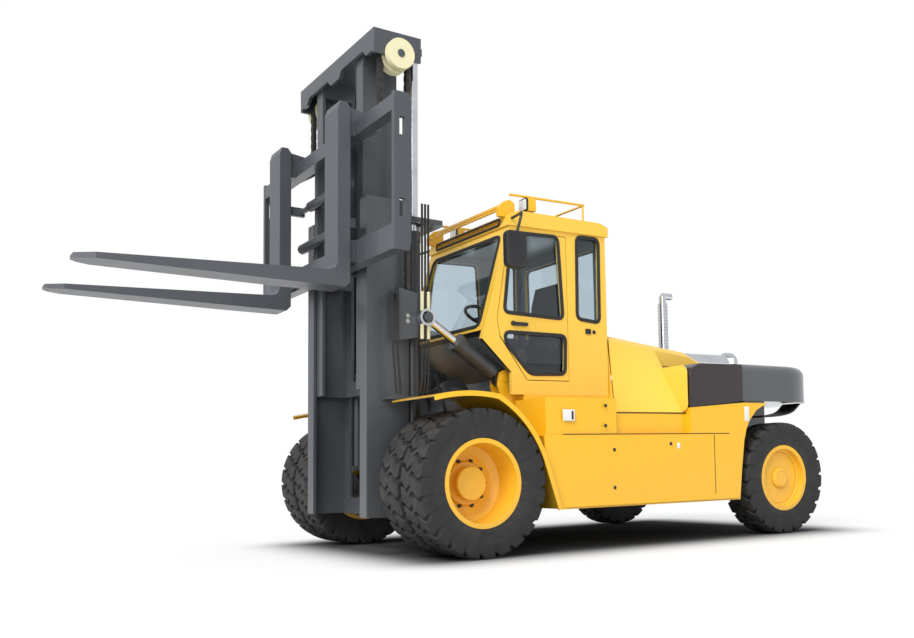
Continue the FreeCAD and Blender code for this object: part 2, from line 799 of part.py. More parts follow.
firewall = prism("firewall", "X", right_in, left_in, [
    on_slope("1895"),
    on_slope("1895", "cab_wall"),
    ("765", "1530"),
    ("765", "cab_floor"),
    ("735", "cab_floor"),
    ("735", "1510"),
])
cab_parts = [
    left_wall,
    right_wall,
    firewall,
    slope_strip("front_low", "1895", glass_low, right_in, left_in),
    slope_strip("front_high", glass_high, "cab_top", right_in, left_in),
    slope_strip("front_post_l", glass_low, glass_high, f"{left_in} - 50", left_in),
    slope_strip("front_post_r", glass_low, glass_high, right_in, f"{right_in} + 50"),
    box("cab_floor_plate", (right_in, left_in), ("765", "cab_rear - cab_wall"), ("cab_floor", "cab_floor + 30")),
    cut(
        "rear_wall",
        box("rear_wall_plate", (right_in, left_in), ("cab_rear - cab_wall", "cab_rear"), ("cab_floor", "cab_top")),
        box("rear_wall_hole", (f"{right_in} + 80", f"{left_in} - 80"), ("cab_rear - 60", "cab_rear + 10"), ("2010", "2720")),
    ),
]
node("cab_shell", fuse("cab_shell_body", *cab_parts))

pane_y = "cab_wall / 2 - pane / 2"
glass = [
    slope_strip("windshield", glass_low, glass_high, f"{right_in} + 50", f"{left_in} - 50", pane_y, "pane"),
    box("rear_pane", (f"{right_in} + 80", f"{left_in} - 80"), ("cab_rear - 26", "cab_rear - 20"), ("2010", "2720")),
    prism("rear_side_pane_l", "X", "cab_left - 26", "cab_left - 20", rear_window),
    prism("rear_side_pane_r", "X", "cab_right + 20", "cab_right + 26", rear_window),
    prism("upper_pane_r", "X", "cab_right + 20", "cab_right + 26", upper_window),
    prism("lower_pane_r", "X", "cab_right + 20", "cab_right + 26", lower_window),
]
node("cab_glass", *glass)

door = cut(
    "door_body",
    prism("door_plate", "X", left_in, "cab_left", door_in),
    prism("upper_window_hole", "X", f"{left_in} - 5", "cab_left + 5", upper_window),
    prism("lower_window_hole", "X", f"{left_in} - 5", "cab_left + 5", lower_window),
)
node("door", door)
node(
    "door_glass",
    prism("upper_pane", "X", "cab_left - 26", "cab_left - 20", upper_window),
    prism("lower_pane", "X", "cab_left - 26", "cab_left - 20", lower_window),
)

roof = cut(
    "roof_body",
    prism("roof_block", "X", "cab_right - 20", "cab_left + 20", [
        ("cab_front - 18", "cab_top"),
        ("cab_rear + 25", "cab_top"),
        ("cab_rear + 25", "cab_top + 85"),
        ("cab_rear - 60", "cab_top + 120"),
        ("cab_front + 100", "cab_top + 135"),
        ("cab_front + 12", "cab_top + 105"),
    ]),
    box("slot_window", ("cab_right + 130", "cab_left - 120"), ("cab_front - 30", "cab_front + 22"), ("cab_top + 24", "cab_top + 78")),
)
node("cab_roof", roof)
rack = []
for number, (y, z) in enumerate((("cab_front - 40", "cab_top + 150"), ("cab_front", "cab_top + 190"), ("cab_front + 50", "cab_top + 225"))):
    rack.append(rod(f"rack_tube{number}", "11", "X", "cab_right + 20", "cab_left - 60", y, z))
for number, x in enumerate(("cab_right + 20", "cab_left - 100")):
    rack.append(prism(f"rack_end{number}", "X", x, f"{x} + 40", [
        ("cab_front - 60", "cab_top + 90"), ("cab_front + 7", "cab_top + 90"), ("cab_front + 11.6", "cab_top + 105.3"),
        ("cab_front + 100", "cab_top + 135.3"), ("cab_front + 110", "cab_top + 135.3"), ("cab_front + 110", "cab_top + 215"),
        ("cab_front + 60", "cab_top + 245"), ("cab_front", "cab_top + 225"), ("cab_front - 60", "cab_top + 165"),
    ]))
for number, x in enumerate(("cab_right + 60", "cab_left - 60")):
    rack.append(rod(f"rail_side{number}", "11", "Y", "cab_front + 60", "1500", x, "3100"))
    rack.append(rod(f"rail_post{number}", "9", "Z", "cab_top + 123.2", "3100", x, "1488"))
rack.append(rod("rail_rear", "10", "X", "cab_right + 60", "cab_left - 60", "1500", "3100"))
node("roof_rack", fuse("roof_rack_body", *rack))
node("work_lamps", *[
    fuse(f"work_lamp{number}", box(f"lamp_case{number}", (f"{x} - 60", f"{x} + 60"), ("840", "930"), ("2970", "3085")),
         rod(f"lamp_stem{number}", "15", "Z", "cab_top + 133", "2975", x, "885"))
    for number, x in enumerate(("870", "-320"))
])
mirror_parts = [
    box("mirror_case", ("cab_left + 265", "cab_left + 340"), ("362", "572"), ("2370", "2680")),
    rod("mirror_arm", "12", "Z", "2670", "cab_top + 75", "cab_left + 280", "500"),
    rod("mirror_bar", "12", "X", "cab_left + 20", "cab_left + 292", "640", "cab_top + 60"),
    rod("mirror_link", "11", "Y", "492", "648", "cab_left + 280", "cab_top + 60"),
]
mirror_right = [
    box("mirror_case_r", ("cab_right - 340", "cab_right - 265"), ("362", "572"), ("2370", "2680")),
    rod("mirror_arm_r", "12", "Z", "2670", "cab_top + 75", "cab_right - 280", "500"),
    rod("mirror_bar_r", "12", "X", "cab_right - 292", "cab_right - 20", "640", "cab_top + 60"),
    rod("mirror_link_r", "11", "Y", "492", "648", "cab_right - 280", "cab_top + 60"),
]
node("mirrors", fuse("mirror_left_body", *mirror_parts), fuse("mirror_right_body", *mirror_right))
seat_x = "(cab_left + cab_right) / 2"
node("seat", fuse(
    "seat_body",
    box("seat_base", (f"{seat_x} - 200", f"{seat_x} + 200"), ("1150", "1500"), ("cab_floor + 30", "1680")),
    box("seat_cushion", (f"{seat_x} - 260", f"{seat_x} + 260"), ("1060", "1560"), ("1680", "1820")),
    prism("seat_back", "X", f"{seat_x} - 240", f"{seat_x} + 240", [
        ("1440", "1800"), ("1560", "1800"), ("1625", "2440"), ("1550", "2470"), ("1500", "2300"),
    ]),
))
console = prism("console", "X", f"{seat_x} - 260", f"{seat_x} + 260", [
    ("770", "cab_floor + 30"), ("850", "cab_floor + 30"), ("760", "1900"), ("640", "2010"), ("540", "1990"), ("600", "1760"), ("770", "1570"),
])
wheel_rim = doc.addObject("Part::Torus", "steering_rim")
wheel_rim.Radius1 = 200
wheel_rim.Radius2 = 16
wheel_rim.Placement = Placement(Vector(275, 800, 2120), Rotation(Vector(1, 0, 0), -25))
column = doc.addObject("Part::Cylinder", "steering_column")
column.Radius = 35
column.Height = 330
column.Placement = Placement(Vector(275, 670, 1830), Rotation(Vector(1, 0, 0), -25))
spokes = doc.addObject("Part::Box", "steering_spoke")
spokes.Length = 400
spokes.Width = 40
spokes.Height = 20
spokes.Placement = Placement(Vector(75, 782, 2118), Rotation(Vector(1, 0, 0), -25))
node("dash", fuse("dash_body", console, column, spokes, wheel_rim))

# Steer axle: a beam under the frame with an eye for each kingpin.
steer_parts = [
    box("steer_beam", ("-kingpin_x + 50", "kingpin_x - 50"), ("wheelbase - 75", "wheelbase + 75"), ("steer_tyre_r - 75", "steer_tyre_r + 75")),
    box("steer_post", ("-160", "160"), ("wheelbase - 100", "wheelbase + 100"), ("steer_tyre_r + 70", "760")),
    rod("steer_cylinder", "70", "X", "-330", "330", "wheelbase + 140", "steer_tyre_r"),
]
for tag, sign in (("l", ""), ("r", "-")):
    eye = rod(f"steer_eye_{tag}", "knuckle_eye_r", "Z", "steer_tyre_r - 85", "steer_tyre_r + 85", f"{sign}kingpin_x", "wheelbase")
    steer_parts.append(eye)
eye_holes = [
    rod(f"kingpin_hole_{tag}", "kingpin_r + run_gap", "Z", "steer_tyre_r - 95", "steer_tyre_r + 95", f"{sign}kingpin_x", "wheelbase")
    for tag, sign in (("l", ""), ("r", "-"))
]
node("steer_axle", cut("steer_axle_body", fuse("steer_axle_solid", *steer_parts), *eye_holes))

knuckle = fuse(
    "knuckle_body",
    rod("kingpin", "kingpin_r", "Z", "steer_tyre_r - 120", "steer_tyre_r + 120", "kingpin_x", "wheelbase"),
    box("knuckle_low", ("kingpin_x - 60", "kingpin_x + 110"), ("wheelbase - 60", "wheelbase + 60"), ("steer_tyre_r - 125", "steer_tyre_r - 86")),
    box("knuckle_high", ("kingpin_x - 60", "kingpin_x + 110"), ("wheelbase - 60", "wheelbase + 60"), ("steer_tyre_r + 86", "steer_tyre_r + 125")),
    box("knuckle_plate", ("kingpin_x + 84", "kingpin_x + 112"), ("wheelbase - 90", "wheelbase + 90"), ("steer_tyre_r - 125", "steer_tyre_r + 125")),
    rod("steer_spindle", "spindle_r", "X", "kingpin_x + 110", "steer_tyre_x - 130", "wheelbase", "steer_tyre_r"),
)
pair("knuckle", knuckle)

steer_centre = size.steer_tyre_x - size.tyre_wide / 2
steer_tyre = shaped(
    "steer_tyre",
    raised(tyre(steer_centre, size.steer_tyre_r, size.steer_rim_r), size.wheelbase, size.steer_tyre_r),
)
pair("steer_tyre", steer_tyre)
steer_mid = "(steer_tyre_x - tyre_wide / 2)"
steer_in = "steer_rim_r - rim_wall"
steer_flange = "steer_rim_r + flange_deep"
steer_rim = turned(
    "steer_rim",
    [
        (f"{steer_mid} - rim_wide / 2", steer_in),
        (f"{steer_mid} - rim_wide / 2", steer_flange),
        (f"{steer_mid} - rim_wide / 2 + 12", steer_flange),
        (f"{steer_mid} - rim_wide / 2 + 12", "steer_rim_r"),
        (f"{steer_mid} + rim_wide / 2 - 12", "steer_rim_r"),
        (f"{steer_mid} + rim_wide / 2 - 12", steer_flange),
        (f"{steer_mid} + rim_wide / 2", steer_flange),
        (f"{steer_mid} + rim_wide / 2", steer_in),
        (f"{steer_mid} - 10", f"{steer_in} - 12"),
        (f"{steer_mid} - 40", "205"),
        (f"{steer_mid} + 10", "175"),
        (f"{steer_mid} + 10", "105"),
        (f"{steer_mid} + 75", "95"),
        (f"{steer_mid} + 75", "0"),
        (f"{steer_mid} + 45", "0"),
        (f"{steer_mid} + 45", "spindle_r + run_gap"),
        ("kingpin_x + 120", "spindle_r + run_gap"),
        ("kingpin_x + 120", "120"),
        (f"{steer_mid} - 30", "165"),
        (f"{steer_mid} - 60", "205"),
        (f"{steer_mid} - 60", steer_in),
    ],
    y="wheelbase",
    z="steer_tyre_r",
)
pair("steer_rim", steer_rim)


def channel(name, outer, wide, front, rear, low, high):
    """An upright of C section, open towards the truck's centre line."""
    web = f"{outer} - mast_plate"
    inner = f"{outer} - {wide}"
    return prism(name, "Z", low, high, [
        (inner, front), (outer, front), (outer, rear), (inner, rear),
        (inner, f"{rear} - mast_plate"), (web, f"{rear} - mast_plate"),
        (web, f"{front} + mast_plate"), (inner, f"{front} + mast_plate"),
    ])


def both(name, item):
    return [item, mirrored(name + "_mirror", item)]


# Outer mast: C uprights, cross ties behind them, pivot lugs, tilt brackets, shelves and the rear top tie.
outer_in = "outer_x - outer_wide"
outer_channel = channel("outer_upright", "outer_x", "outer_wide", "outer_front", "outer_rear", "outer_low", "outer_top")
outer_parts = both("outer_upright", outer_channel)
for number, (low, high) in enumerate((("outer_low", "outer_low + 150"), ("1480", "1620"), ("2560", "2700"))):
    outer_parts.append(box(
        f"outer_tie{number}", (f"-({outer_in})", outer_in), ("outer_rear - mast_plate", "outer_rear"), (low, high)
    ))
lug_plate = cut(
    "mast_lug",
    prism("mast_lug_plate", "X", f"{ear_low} + 44", f"{ear_high} - 44", [
        ("outer_rear", "mast_pivot_z - 170"),
        ("mast_pivot_y + 20", "mast_pivot_z - 56"),
        ("mast_pivot_y + 54", "mast_pivot_z - 22"),
        ("mast_pivot_y + 54", "mast_pivot_z + 22"),
        ("mast_pivot_y + 20", "mast_pivot_z + 56"),
        ("outer_rear", "mast_pivot_z + 170"),
        ("outer_rear - 20", "mast_pivot_z + 170"),
        ("outer_rear - 20", "mast_pivot_z - 170"),
    ]),
    rod("mast_lug_hole", "mast_pin_r + run_gap", "X", "400", "700", "mast_pivot_y", "mast_pivot_z"),
)
outer_parts += both("mast_lug", lug_plate)
shelf = prism("mast_shelf", "Z", "1300", "1330", [
    ("outer_x - 5", "outer_rear - 250"), ("fender_in - 25", "outer_rear - 250"),
    ("fender_in - 25", "outer_rear + 60"), ("outer_x - 5", "outer_rear + 60"),
])
outer_parts += both("mast_shelf", shelf)
bracket = prism("tilt_bracket", "X", "outer_x - 5", "chain_x + 40", [
    ("outer_rear - 155", "tilt_front_z - 200"), ("outer_rear + 60", "tilt_front_z - 160"),
    ("outer_rear + 145", "tilt_front_z - 60"), ("outer_rear + 145", "tilt_front_z + 60"),
    ("outer_rear + 60", "tilt_front_z + 200"), ("outer_rear - 155", "tilt_front_z + 240"),
])
outer_parts += both("tilt_bracket", bracket)
front_pin = rod("tilt_front_pin", "tilt_pin_r", "X", "chain_x + 30", "tilt_x + 55", "tilt_front_y", "tilt_front_z")
outer_parts += both("tilt_front_pin", front_pin)
tie_arm = box("top_tie_arm", ("outer_x - 5", "outer_x + 30"), ("outer_rear - 120", "70"), ("2830", "2870"))
outer_parts += both("top_tie_arm", tie_arm)
lift_shelf = box("lift_shelf", ("lift_x - 60", "lift_x + 60"), ("outer_rear - 5", "lift_y + 60"), ("lift_low - 40", "lift_low"))
outer_parts += both("lift_shelf", lift_shelf)
outer_parts.append(prism("top_tie", "Z", "2830", "2870", [
    ("-outer_x - 30", "-75"), ("outer_x + 30", "-75"), ("outer_x + 30", "60"), ("outer_x - 20", "100"),
    ("20 - outer_x", "100"), ("-outer_x - 30", "60"),
]))
node("outer_mast", fuse("outer_mast_body", *outer_parts), lean=True)

barrel = cut(
    "lift_barrel",
    fuse(
        "lift_barrel_solid",
        rod("lift_tube", "lift_r", "Z", "lift_low", "lift_high", "lift_x", "lift_y"),
        rod("lift_gland", "lift_r + 3", "Z", "lift_high - 90", "lift_high", "lift_x", "lift_y"),
    ),
    rod("lift_bore", "lift_rod_r + 5", "Z", "lift_low + 40", "lift_high + 5", "lift_x", "lift_y"),
)
twins("lift_barrels", barrel, lean=True)

# Inner mast: uprights, ties, rollers in the outer channels.
inner_in = "inner_x - inner_wide"
inner_channel = channel("inner_upright", "inner_x", "inner_wide", "inner_front", "inner_rear", "inner_low", "inner_top")
inner_parts = both("inner_upright", inner_channel)
for number, (low, high) in enumerate((("inner_low", "inner_low + 140"), ("2600", "2740"), ("3800", "3940"))):
    inner_parts.append(box(
        f"inner_tie{number}", (f"-({inner_in})", inner_in), ("inner_rear - mast_plate", "inner_rear"), (low, high)
    ))
outer_roller_r = "(outer_rear - outer_front) / 2 - mast_plate - roller_gap"
for number, z in enumerate(("inner_low + 200", "inner_low + 900")):
    roller = rod(f"inner_roller{number}", outer_roller_r, "X", "inner_x - 10", "outer_x - mast_plate - 8", "(outer_front + outer_rear) / 2", z)
    inner_parts += both(f"inner_roller{number}", roller)
node("inner_mast", fuse("inner_mast_body", *inner_parts), lean=True)

lift_rod = rod("lift_rod", "lift_rod_r", "Z", "lift_low + 1150", "crosshead_high - 60", "lift_x", "lift_y")
twins("lift_rods", lift_rod, lean=True)

# Crosshead: a top plate, a scalloped front plate, side plates and the sheaves' shafts.
cross_low = "crosshead_high - crosshead_deep"
front_plate = prism("crosshead_front", "Y", "crosshead_front", "crosshead_front + 30", [
    ("-crosshead_half", cross_low), ("-crosshead_half + 150", cross_low), ("-crosshead_half + 210", f"{cross_low} + 60"),
    ("-150", f"{cross_low} + 60"), ("-90", cross_low), ("90", cross_low), ("150", f"{cross_low} + 60"),
    ("crosshead_half - 210", f"{cross_low} + 60"), ("crosshead_half - 150", cross_low), ("crosshead_half", cross_low),
    ("crosshead_half", "crosshead_high"), ("-crosshead_half", "crosshead_high"),
])
top_plate = box("crosshead_top", ("-crosshead_half", "crosshead_half"), ("crosshead_front", "crosshead_rear"), ("crosshead_high - 30", "crosshead_high"))
side_cheek = box("crosshead_side", ("crosshead_half - 28", "crosshead_half"), ("crosshead_front", "crosshead_rear"), (f"{cross_low} - 20", "crosshead_high"))
inner_cap = box("crosshead_seat", (f"{inner_in}", "inner_x + 10"), ("inner_front", "inner_rear"), ("inner_top", "crosshead_high"))
rod_seat = box("rod_seat", ("inner_x - 20", "lift_x + 70"), ("crosshead_rear - 30", "lift_y + 60"), ("crosshead_high - 60", "crosshead_high"))
shaft = rod("sheave_shaft", "32", "X", "inner_x", "crosshead_half + 62", "sheave_y", "sheave_z")
cross_parts = [front_plate, top_plate]
for name, item in (("side", side_cheek), ("cap", inner_cap), ("rod_seat", rod_seat), ("shaft", shaft)):
    cross_parts += both("crosshead_" + name, item)
node("crosshead", fuse("crosshead_body", *cross_parts), lean=True)

chain_sheave = rod("chain_sheave", "sheave_r", "X", "chain_x - 36", "chain_x + 36", "sheave_y", "sheave_z")
hose_sheave = rod("hose_sheave", "sheave_r", "X", "crosshead_half + 6", "crosshead_half + 56", "sheave_y", "sheave_z")
sheaves = [
    cut(f"{item.Name}_ring", item, rod(f"{item.Name}_bore", "32", "X", "600", "900", "sheave_y", "sheave_z"))
    for item in (chain_sheave, hose_sheave)
]
twins("sheaves", *sheaves, lean=True)

front_y = "sheave_y - sheave_r - chain_thick"
rear_y = "sheave_y + sheave_r"
chain_front = box("chain_front", ("chain_x - chain_wide / 2", "chain_x + chain_wide / 2"), (front_y, f"{front_y} + chain_thick"), ("top_bar_high + 20", "sheave_z"))
chain_rear = box("chain_rear", ("chain_x - chain_wide / 2", "chain_x + chain_wide / 2"), (rear_y, f"{rear_y} + chain_thick"), ("tilt_front_z + 236", "sheave_z"))
wrap = cut(
    "chain_wrap",
    rod("chain_wrap_disc", "sheave_r + chain_thick", "X", "chain_x - chain_wide / 2", "chain_x + chain_wide / 2", "sheave_y", "sheave_z"),
    rod("chain_wrap_bore", "sheave_r", "X", "600", "900", "sheave_y", "sheave_z"),
    box("chain_wrap_half", ("600", "900"), ("sheave_y - 400", "sheave_y + 400"), ("sheave_z - 400", "sheave_z")),
)
twins("chain_fronts", chain_front, lean=True)
twins("chain_rears", chain_rear, lean=True)
twins("chain_wraps", wrap, lean=True)

# Carriage: two long bars, slotted end plates, roller plates in the inner mast and the chains' anchors.
bar_rear = "bar_front + bar_thick"
carriage_parts = [
    box("top_bar", ("-carriage_half", "carriage_half"), ("bar_front", bar_rear), ("top_bar_low", "top_bar_high")),
    box("low_bar", ("-carriage_half", "carriage_half"), ("bar_front", bar_rear), ("low_bar_low", "low_bar_high")),
]
end_plate = cut(
    "end_plate",
    prism("end_plate_body", "X", "carriage_half - 35", "carriage_half + 5", [
        ("bar_front - 2", "low_bar_low - 5"), (f"{bar_rear} + 25", "low_bar_low - 5"), (f"{bar_rear} + 40", "low_bar_low + 60"),
        (f"{bar_rear} + 40", "top_bar_high - 50"), (f"{bar_rear} + 25", "top_bar_high + 20"), ("bar_front - 2", "top_bar_high + 20"),
    ]),
    box("end_slot_high", ("carriage_half - 60", "carriage_half + 30"), ("bar_front + 45", f"{bar_rear} - 15"), ("top_bar_low - 190", "top_bar_low - 50")),
    box("end_slot_low", ("carriage_half - 60", "carriage_half + 30"), ("bar_front + 45", f"{bar_rear} - 15"), ("low_bar_high + 50", "low_bar_high + 190")),
)
carriage_parts += both("end_plate", end_plate)
roller_plate = box("roller_plate", ("inner_x - inner_wide - 70", "inner_x - inner_wide - 15"), (f"{bar_rear} - 5", "inner_rear - mast_plate - 15"), ("low_bar_low", "top_bar_high"))
carriage_parts += both("roller_plate", roller_plate)
carriage_roller_r = "(inner_rear - inner_front) / 2 - mast_plate - roller_gap"
for number, z in enumerate(("low_bar_low + 180", "top_bar_low - 120")):
    roller = rod(f"carriage_roller{number}", carriage_roller_r, "X", "inner_x - inner_wide - 20", "inner_x - mast_plate - 6", "(inner_front + inner_rear) / 2", z)
    carriage_parts += both(f"carriage_roller{number}", roller)
anchor = prism("chain_anchor", "X", "chain_x - 42", "chain_x + 42", [
    (f"{bar_rear} - 5", "top_bar_low"), (f"{front_y} + chain_thick", "top_bar_high - 40"),
    (f"{front_y} + chain_thick", "top_bar_high + 20"), (f"{bar_rear} + 30", "top_bar_high + 20"),
    (f"{bar_rear} + 30", "top_bar_low + 54"), (f"{bar_rear} - 5", "top_bar_low + 54"),
])
carriage_parts += both("chain_anchor", anchor)
for number, z in enumerate(("spread_low_z", "spread_high_z")):
    for tag, x in (("l", ("inner_x - inner_wide - 110", "inner_x - inner_wide - 65")), ("r", ("65 + inner_wide - inner_x", "110 + inner_wide - inner_x"))):
        carriage_parts.append(box(f"spread_clamp{number}{tag}", x, ("spread_y + spread_r + seat_gap", f"{bar_rear} + 5"), (f"{z} - 50", f"{z} + 50")))
node("carriage", fuse("carriage_body", *carriage_parts), lean=True)


def spreader(number, z, sign):
    """The barrel of one fork positioner across the carriage, open at its fork's end."""
    ends = ("-520", "325") if sign > 0 else ("-325", "520")
    bore = ("-500", "335") if sign > 0 else ("-335", "500")
    return cut(
        f"spread_barrel{number}",
        rod(f"spread_tube{number}", "spread_r", "X", *ends, "spread_y", z),
        rod(f"spread_bore{number}", "spread_rod_r + seat_gap", "X", *bore, "spread_y", z),
    )


node("fork_positioners", spreader(0, "spread_low_z", 1), spreader(1, "spread_high_z", -1), lean=True)

fork_left = "fork_x - fork_wide / 2"
fork_right = "fork_x + fork_wide / 2"
fork_rear = "fork_front + fork_thick"


def fork_body(tag, z):
    """A fork: tapering blade, shank, the hook over the top bar, the foot on the low bar, its positioner rod."""
    blade = prism(f"fork_blade_{tag}", "X", fork_left, fork_right, [
        ("tip_y", "tip_low + 8"), ("tip_y + 40", "tip_low"), ("fork_front - 400", "heel_low"), (f"{fork_rear} - 40", "heel_low"),
        (fork_rear, "heel_low + 40"), (fork_rear, "fork_high - 40"), (f"{fork_rear} - 30", "fork_high"),
        ("fork_front + 20", "fork_high"), ("fork_front", "fork_high - 60"), ("fork_front", "heel_top + 60"),
        ("fork_front - 25", "heel_top + 15"), ("fork_front - 80", "heel_top"), ("tip_y", "tip_top"),
    ])
    corner_l = prism(f"fork_nose_l_{tag}", "Z", "tip_low - 20", "tip_top + 60", [
        (f"{fork_left} - 5", "tip_y - 5"), (f"{fork_left} + 70", "tip_y - 5"), (f"{fork_left} - 5", "tip_y + 150"),
    ])
    corner_r = prism(f"fork_nose_r_{tag}", "Z", "tip_low - 20", "tip_top + 60", [
        (f"{fork_right} + 5", "tip_y - 5"), (f"{fork_right} + 5", "tip_y + 150"), (f"{fork_right} - 70", "tip_y - 5"),
    ])
    hook = prism(f"fork_hook_{tag}", "X", f"{fork_left} + 30", f"{fork_right} - 30", [
        (f"{fork_rear} - 5", "top_bar_low - 10"), ("bar_front - fork_gap", "top_bar_low - 10"),
        ("bar_front - fork_gap", "top_bar_high + fork_gap"), (f"{bar_rear} + fork_gap", "top_bar_high + fork_gap"),
        (f"{bar_rear} + fork_gap", "top_bar_high - 50"), (f"{bar_rear} + 15", "top_bar_high - 50"),
        (f"{bar_rear} + 15", "top_bar_high + 70"), (f"{fork_rear} - 5", "top_bar_high + 95"),
    ])
    foot = box(f"fork_foot_{tag}", (f"{fork_left} + 30", f"{fork_right} - 30"), (f"{fork_rear} - 5", "bar_front - fork_gap"), ("low_bar_low + 20", "low_bar_high"))
    rod_bar = rod(f"spread_rod_{tag}", "spread_rod_r", "X", "-300", f"{fork_left} + 50", "spread_y", z)
    rod_eye = box(f"spread_eye_{tag}", (f"{fork_left} + 20", f"{fork_left} + 60"), (f"{fork_rear} - 5", "spread_y + 30"), (f"{z} - 40", f"{z} + 40"))
    return fuse(f"fork_body_{tag}", cut(f"fork_plain_{tag}", blade, corner_l, corner_r), hook, foot, rod_bar, rod_eye)


node("fork_left", fork_body("l", "spread_low_z"), lean=True)
node("fork_right", mirrored("fork_right_body", fork_body("r", "spread_high_z")), lean=True)

# Tilt cylinders: each barrel turns on its mount's pin and its rod reaches the mast's pin.
lean_turn = Rotation(Vector(1, 0, 0), -size.mast_lean)
pivot = Vector(0, size.mast_pivot_y, size.mast_pivot_z)
rear_pin = Vector(size.tilt_x, size.tilt_rear_y, size.tilt_rear_z)
mast_pin = Vector(size.tilt_x, size.tilt_front_y, size.tilt_front_z)
mast_pin = pivot + lean_turn.multVec(mast_pin - pivot)
mast_pin.x = size.tilt_x
reach = (mast_pin - rear_pin).Length
direction = (mast_pin - rear_pin).normalize()


def tilt_barrel():
    side = Vector(1, 0, 0)
    eye = Part.makeCylinder(size.tilt_r, 76, rear_pin - side * 38, side)
    neck = Part.makeCylinder(37, 110, rear_pin, direction)
    tube = Part.makeCylinder(size.tilt_r, size.tilt_long - 95, rear_pin + direction * 95, direction)
    gland = Part.makeCylinder(size.tilt_r + 5, 45, rear_pin + direction * (size.tilt_long - 45), direction)
    solid = eye.fuse([neck, tube, gland])
    hole = Part.makeCylinder(size.tilt_pin_r + size.run_gap, 90, rear_pin - side * 45, side)
    bore = Part.makeCylinder(size.tilt_rod_r + size.seat_gap, size.tilt_long, rear_pin + direction * 125, direction)
    return solid.cut([hole, bore]).removeSplitter()


def tilt_rod():
    side = Vector(1, 0, 0)
    hidden = 335
    bar_long = reach - hidden - size.tilt_pin_r - size.tilt_eye_gap - 8
    bar = Part.makeCylinder(size.tilt_rod_r, bar_long, rear_pin + direction * hidden, direction)
    hole_r = size.tilt_pin_r + size.tilt_eye_gap
    eye = Part.makeCylinder(hole_r + size.tilt_eye_wall, 70, mast_pin - side * 35, side)
    hole = Part.makeCylinder(hole_r, 90, mast_pin - side * 45, side)
    return eye.cut(hole).fuse(bar)


pair("tilt_barrel", shaped("tilt_barrel_body", tilt_barrel()))
pair("tilt_rod", shaped("tilt_rod_body", tilt_rod()))

doc.recompute()
for item in doc.Objects:
    if "Invalid" in item.State or "Error" in item.State:
        raise SystemExit(f"{item.Name} failed: {item.State}")
os.makedirs("parts", exist_ok=True)
broken = []
for item in NODES:
    shape = item.Shape
    if shape.isNull() or not shape.isValid() or not shape.Solids:
        broken.append(item.Label)
    elif min(solid.Volume for solid in shape.Solids) <= 0:
        broken.append(item.Label)
if broken:
    raise SystemExit("no valid solid: " + ", ".join(broken))
for item in NODES:
    item.Shape.exportStep(f"parts/{item.Label}.step")
print(len(NODES), "nodes")
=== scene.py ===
# %% [markdown]
# # Dressing a heavy forklift truck
# The rigid bodies of the truck are loaded as a fixed frame, already in metres and in their real places.
# Everything in this lesson is added to that frame or gives it a finish, and nothing in the frame is moved.

# %% Load the frame
import math

import bpy
import numpy as np
from mathutils import Matrix


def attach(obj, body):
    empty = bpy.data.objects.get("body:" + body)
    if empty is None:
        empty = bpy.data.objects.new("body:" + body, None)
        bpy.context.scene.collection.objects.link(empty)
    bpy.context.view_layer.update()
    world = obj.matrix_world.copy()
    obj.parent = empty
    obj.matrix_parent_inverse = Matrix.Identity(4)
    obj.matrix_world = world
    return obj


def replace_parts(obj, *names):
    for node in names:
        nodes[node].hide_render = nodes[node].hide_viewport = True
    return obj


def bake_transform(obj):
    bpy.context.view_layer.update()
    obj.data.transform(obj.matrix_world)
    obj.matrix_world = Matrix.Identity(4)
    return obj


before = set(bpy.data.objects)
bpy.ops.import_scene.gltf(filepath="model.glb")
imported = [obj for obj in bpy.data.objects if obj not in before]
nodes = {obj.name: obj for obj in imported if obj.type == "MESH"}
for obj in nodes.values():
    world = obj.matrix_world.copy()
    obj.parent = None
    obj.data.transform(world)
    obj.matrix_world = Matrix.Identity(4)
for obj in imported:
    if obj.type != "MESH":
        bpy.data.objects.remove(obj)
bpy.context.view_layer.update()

# %% [markdown]
# ## Two ways to say where something is
# The truck was measured from the middle of its drive axle, on the ground, and the model's origin lies 0.7 m
# ahead of that. The mast leans back by a degree and a half, so it is easiest to draw its pieces upright and
# lean them afterwards. A piece is always given in one of these two frames, never by its own object's place.

# %% Truck and mast frames
AXLE = np.array([0, -0.7, 0])
LEAN = math.radians(1.5)
MAST_PIVOT = np.array([0, -0.180, 0.560])


def truck(points):
    """p + (0, -0.7, 0): measured from the drive axle."""
    return np.asarray(points, float) + AXLE


def mast(points):
    """Rotation about the mast's pivot: y' = y cos a + z sin a, z' = z cos a - y sin a."""
    d = np.asarray(points, float) - MAST_PIVOT
    y = d[..., 1] * math.cos(LEAN) + d[..., 2] * math.sin(LEAN)
    z = d[..., 2] * math.cos(LEAN) - d[..., 1] * math.sin(LEAN)
    return np.stack([d[..., 0], y, z], -1) + MAST_PIVOT + AXLE


# %% [markdown]
# ## Surfaces as arrays
# A surface is a stack of closed rings of points: row by row along the shape, column by column round it.
# Four neighbours make a face, the two end rings are capped, and the sign of the enclosed volume says
# whether the faces look outwards. One routine then serves tyres, tubes, plates, cushions and bolts.

# %% Rings to a closed surface
def outward(points, faces):
    """Six times the volume is the sum of p0 . (p1 x p2) over the triangles; if negative the faces are turned."""
    volume = 0
    for group in faces:
        p = points[group]
        first = np.broadcast_to(p[:, :1], p[:, 1:-1].shape)
        volume += np.einsum("ijk,ijk->", first, np.cross(p[:, 1:-1], p[:, 2:]))
    return points, [group[:, ::-1] if volume < 0 else group for group in faces]


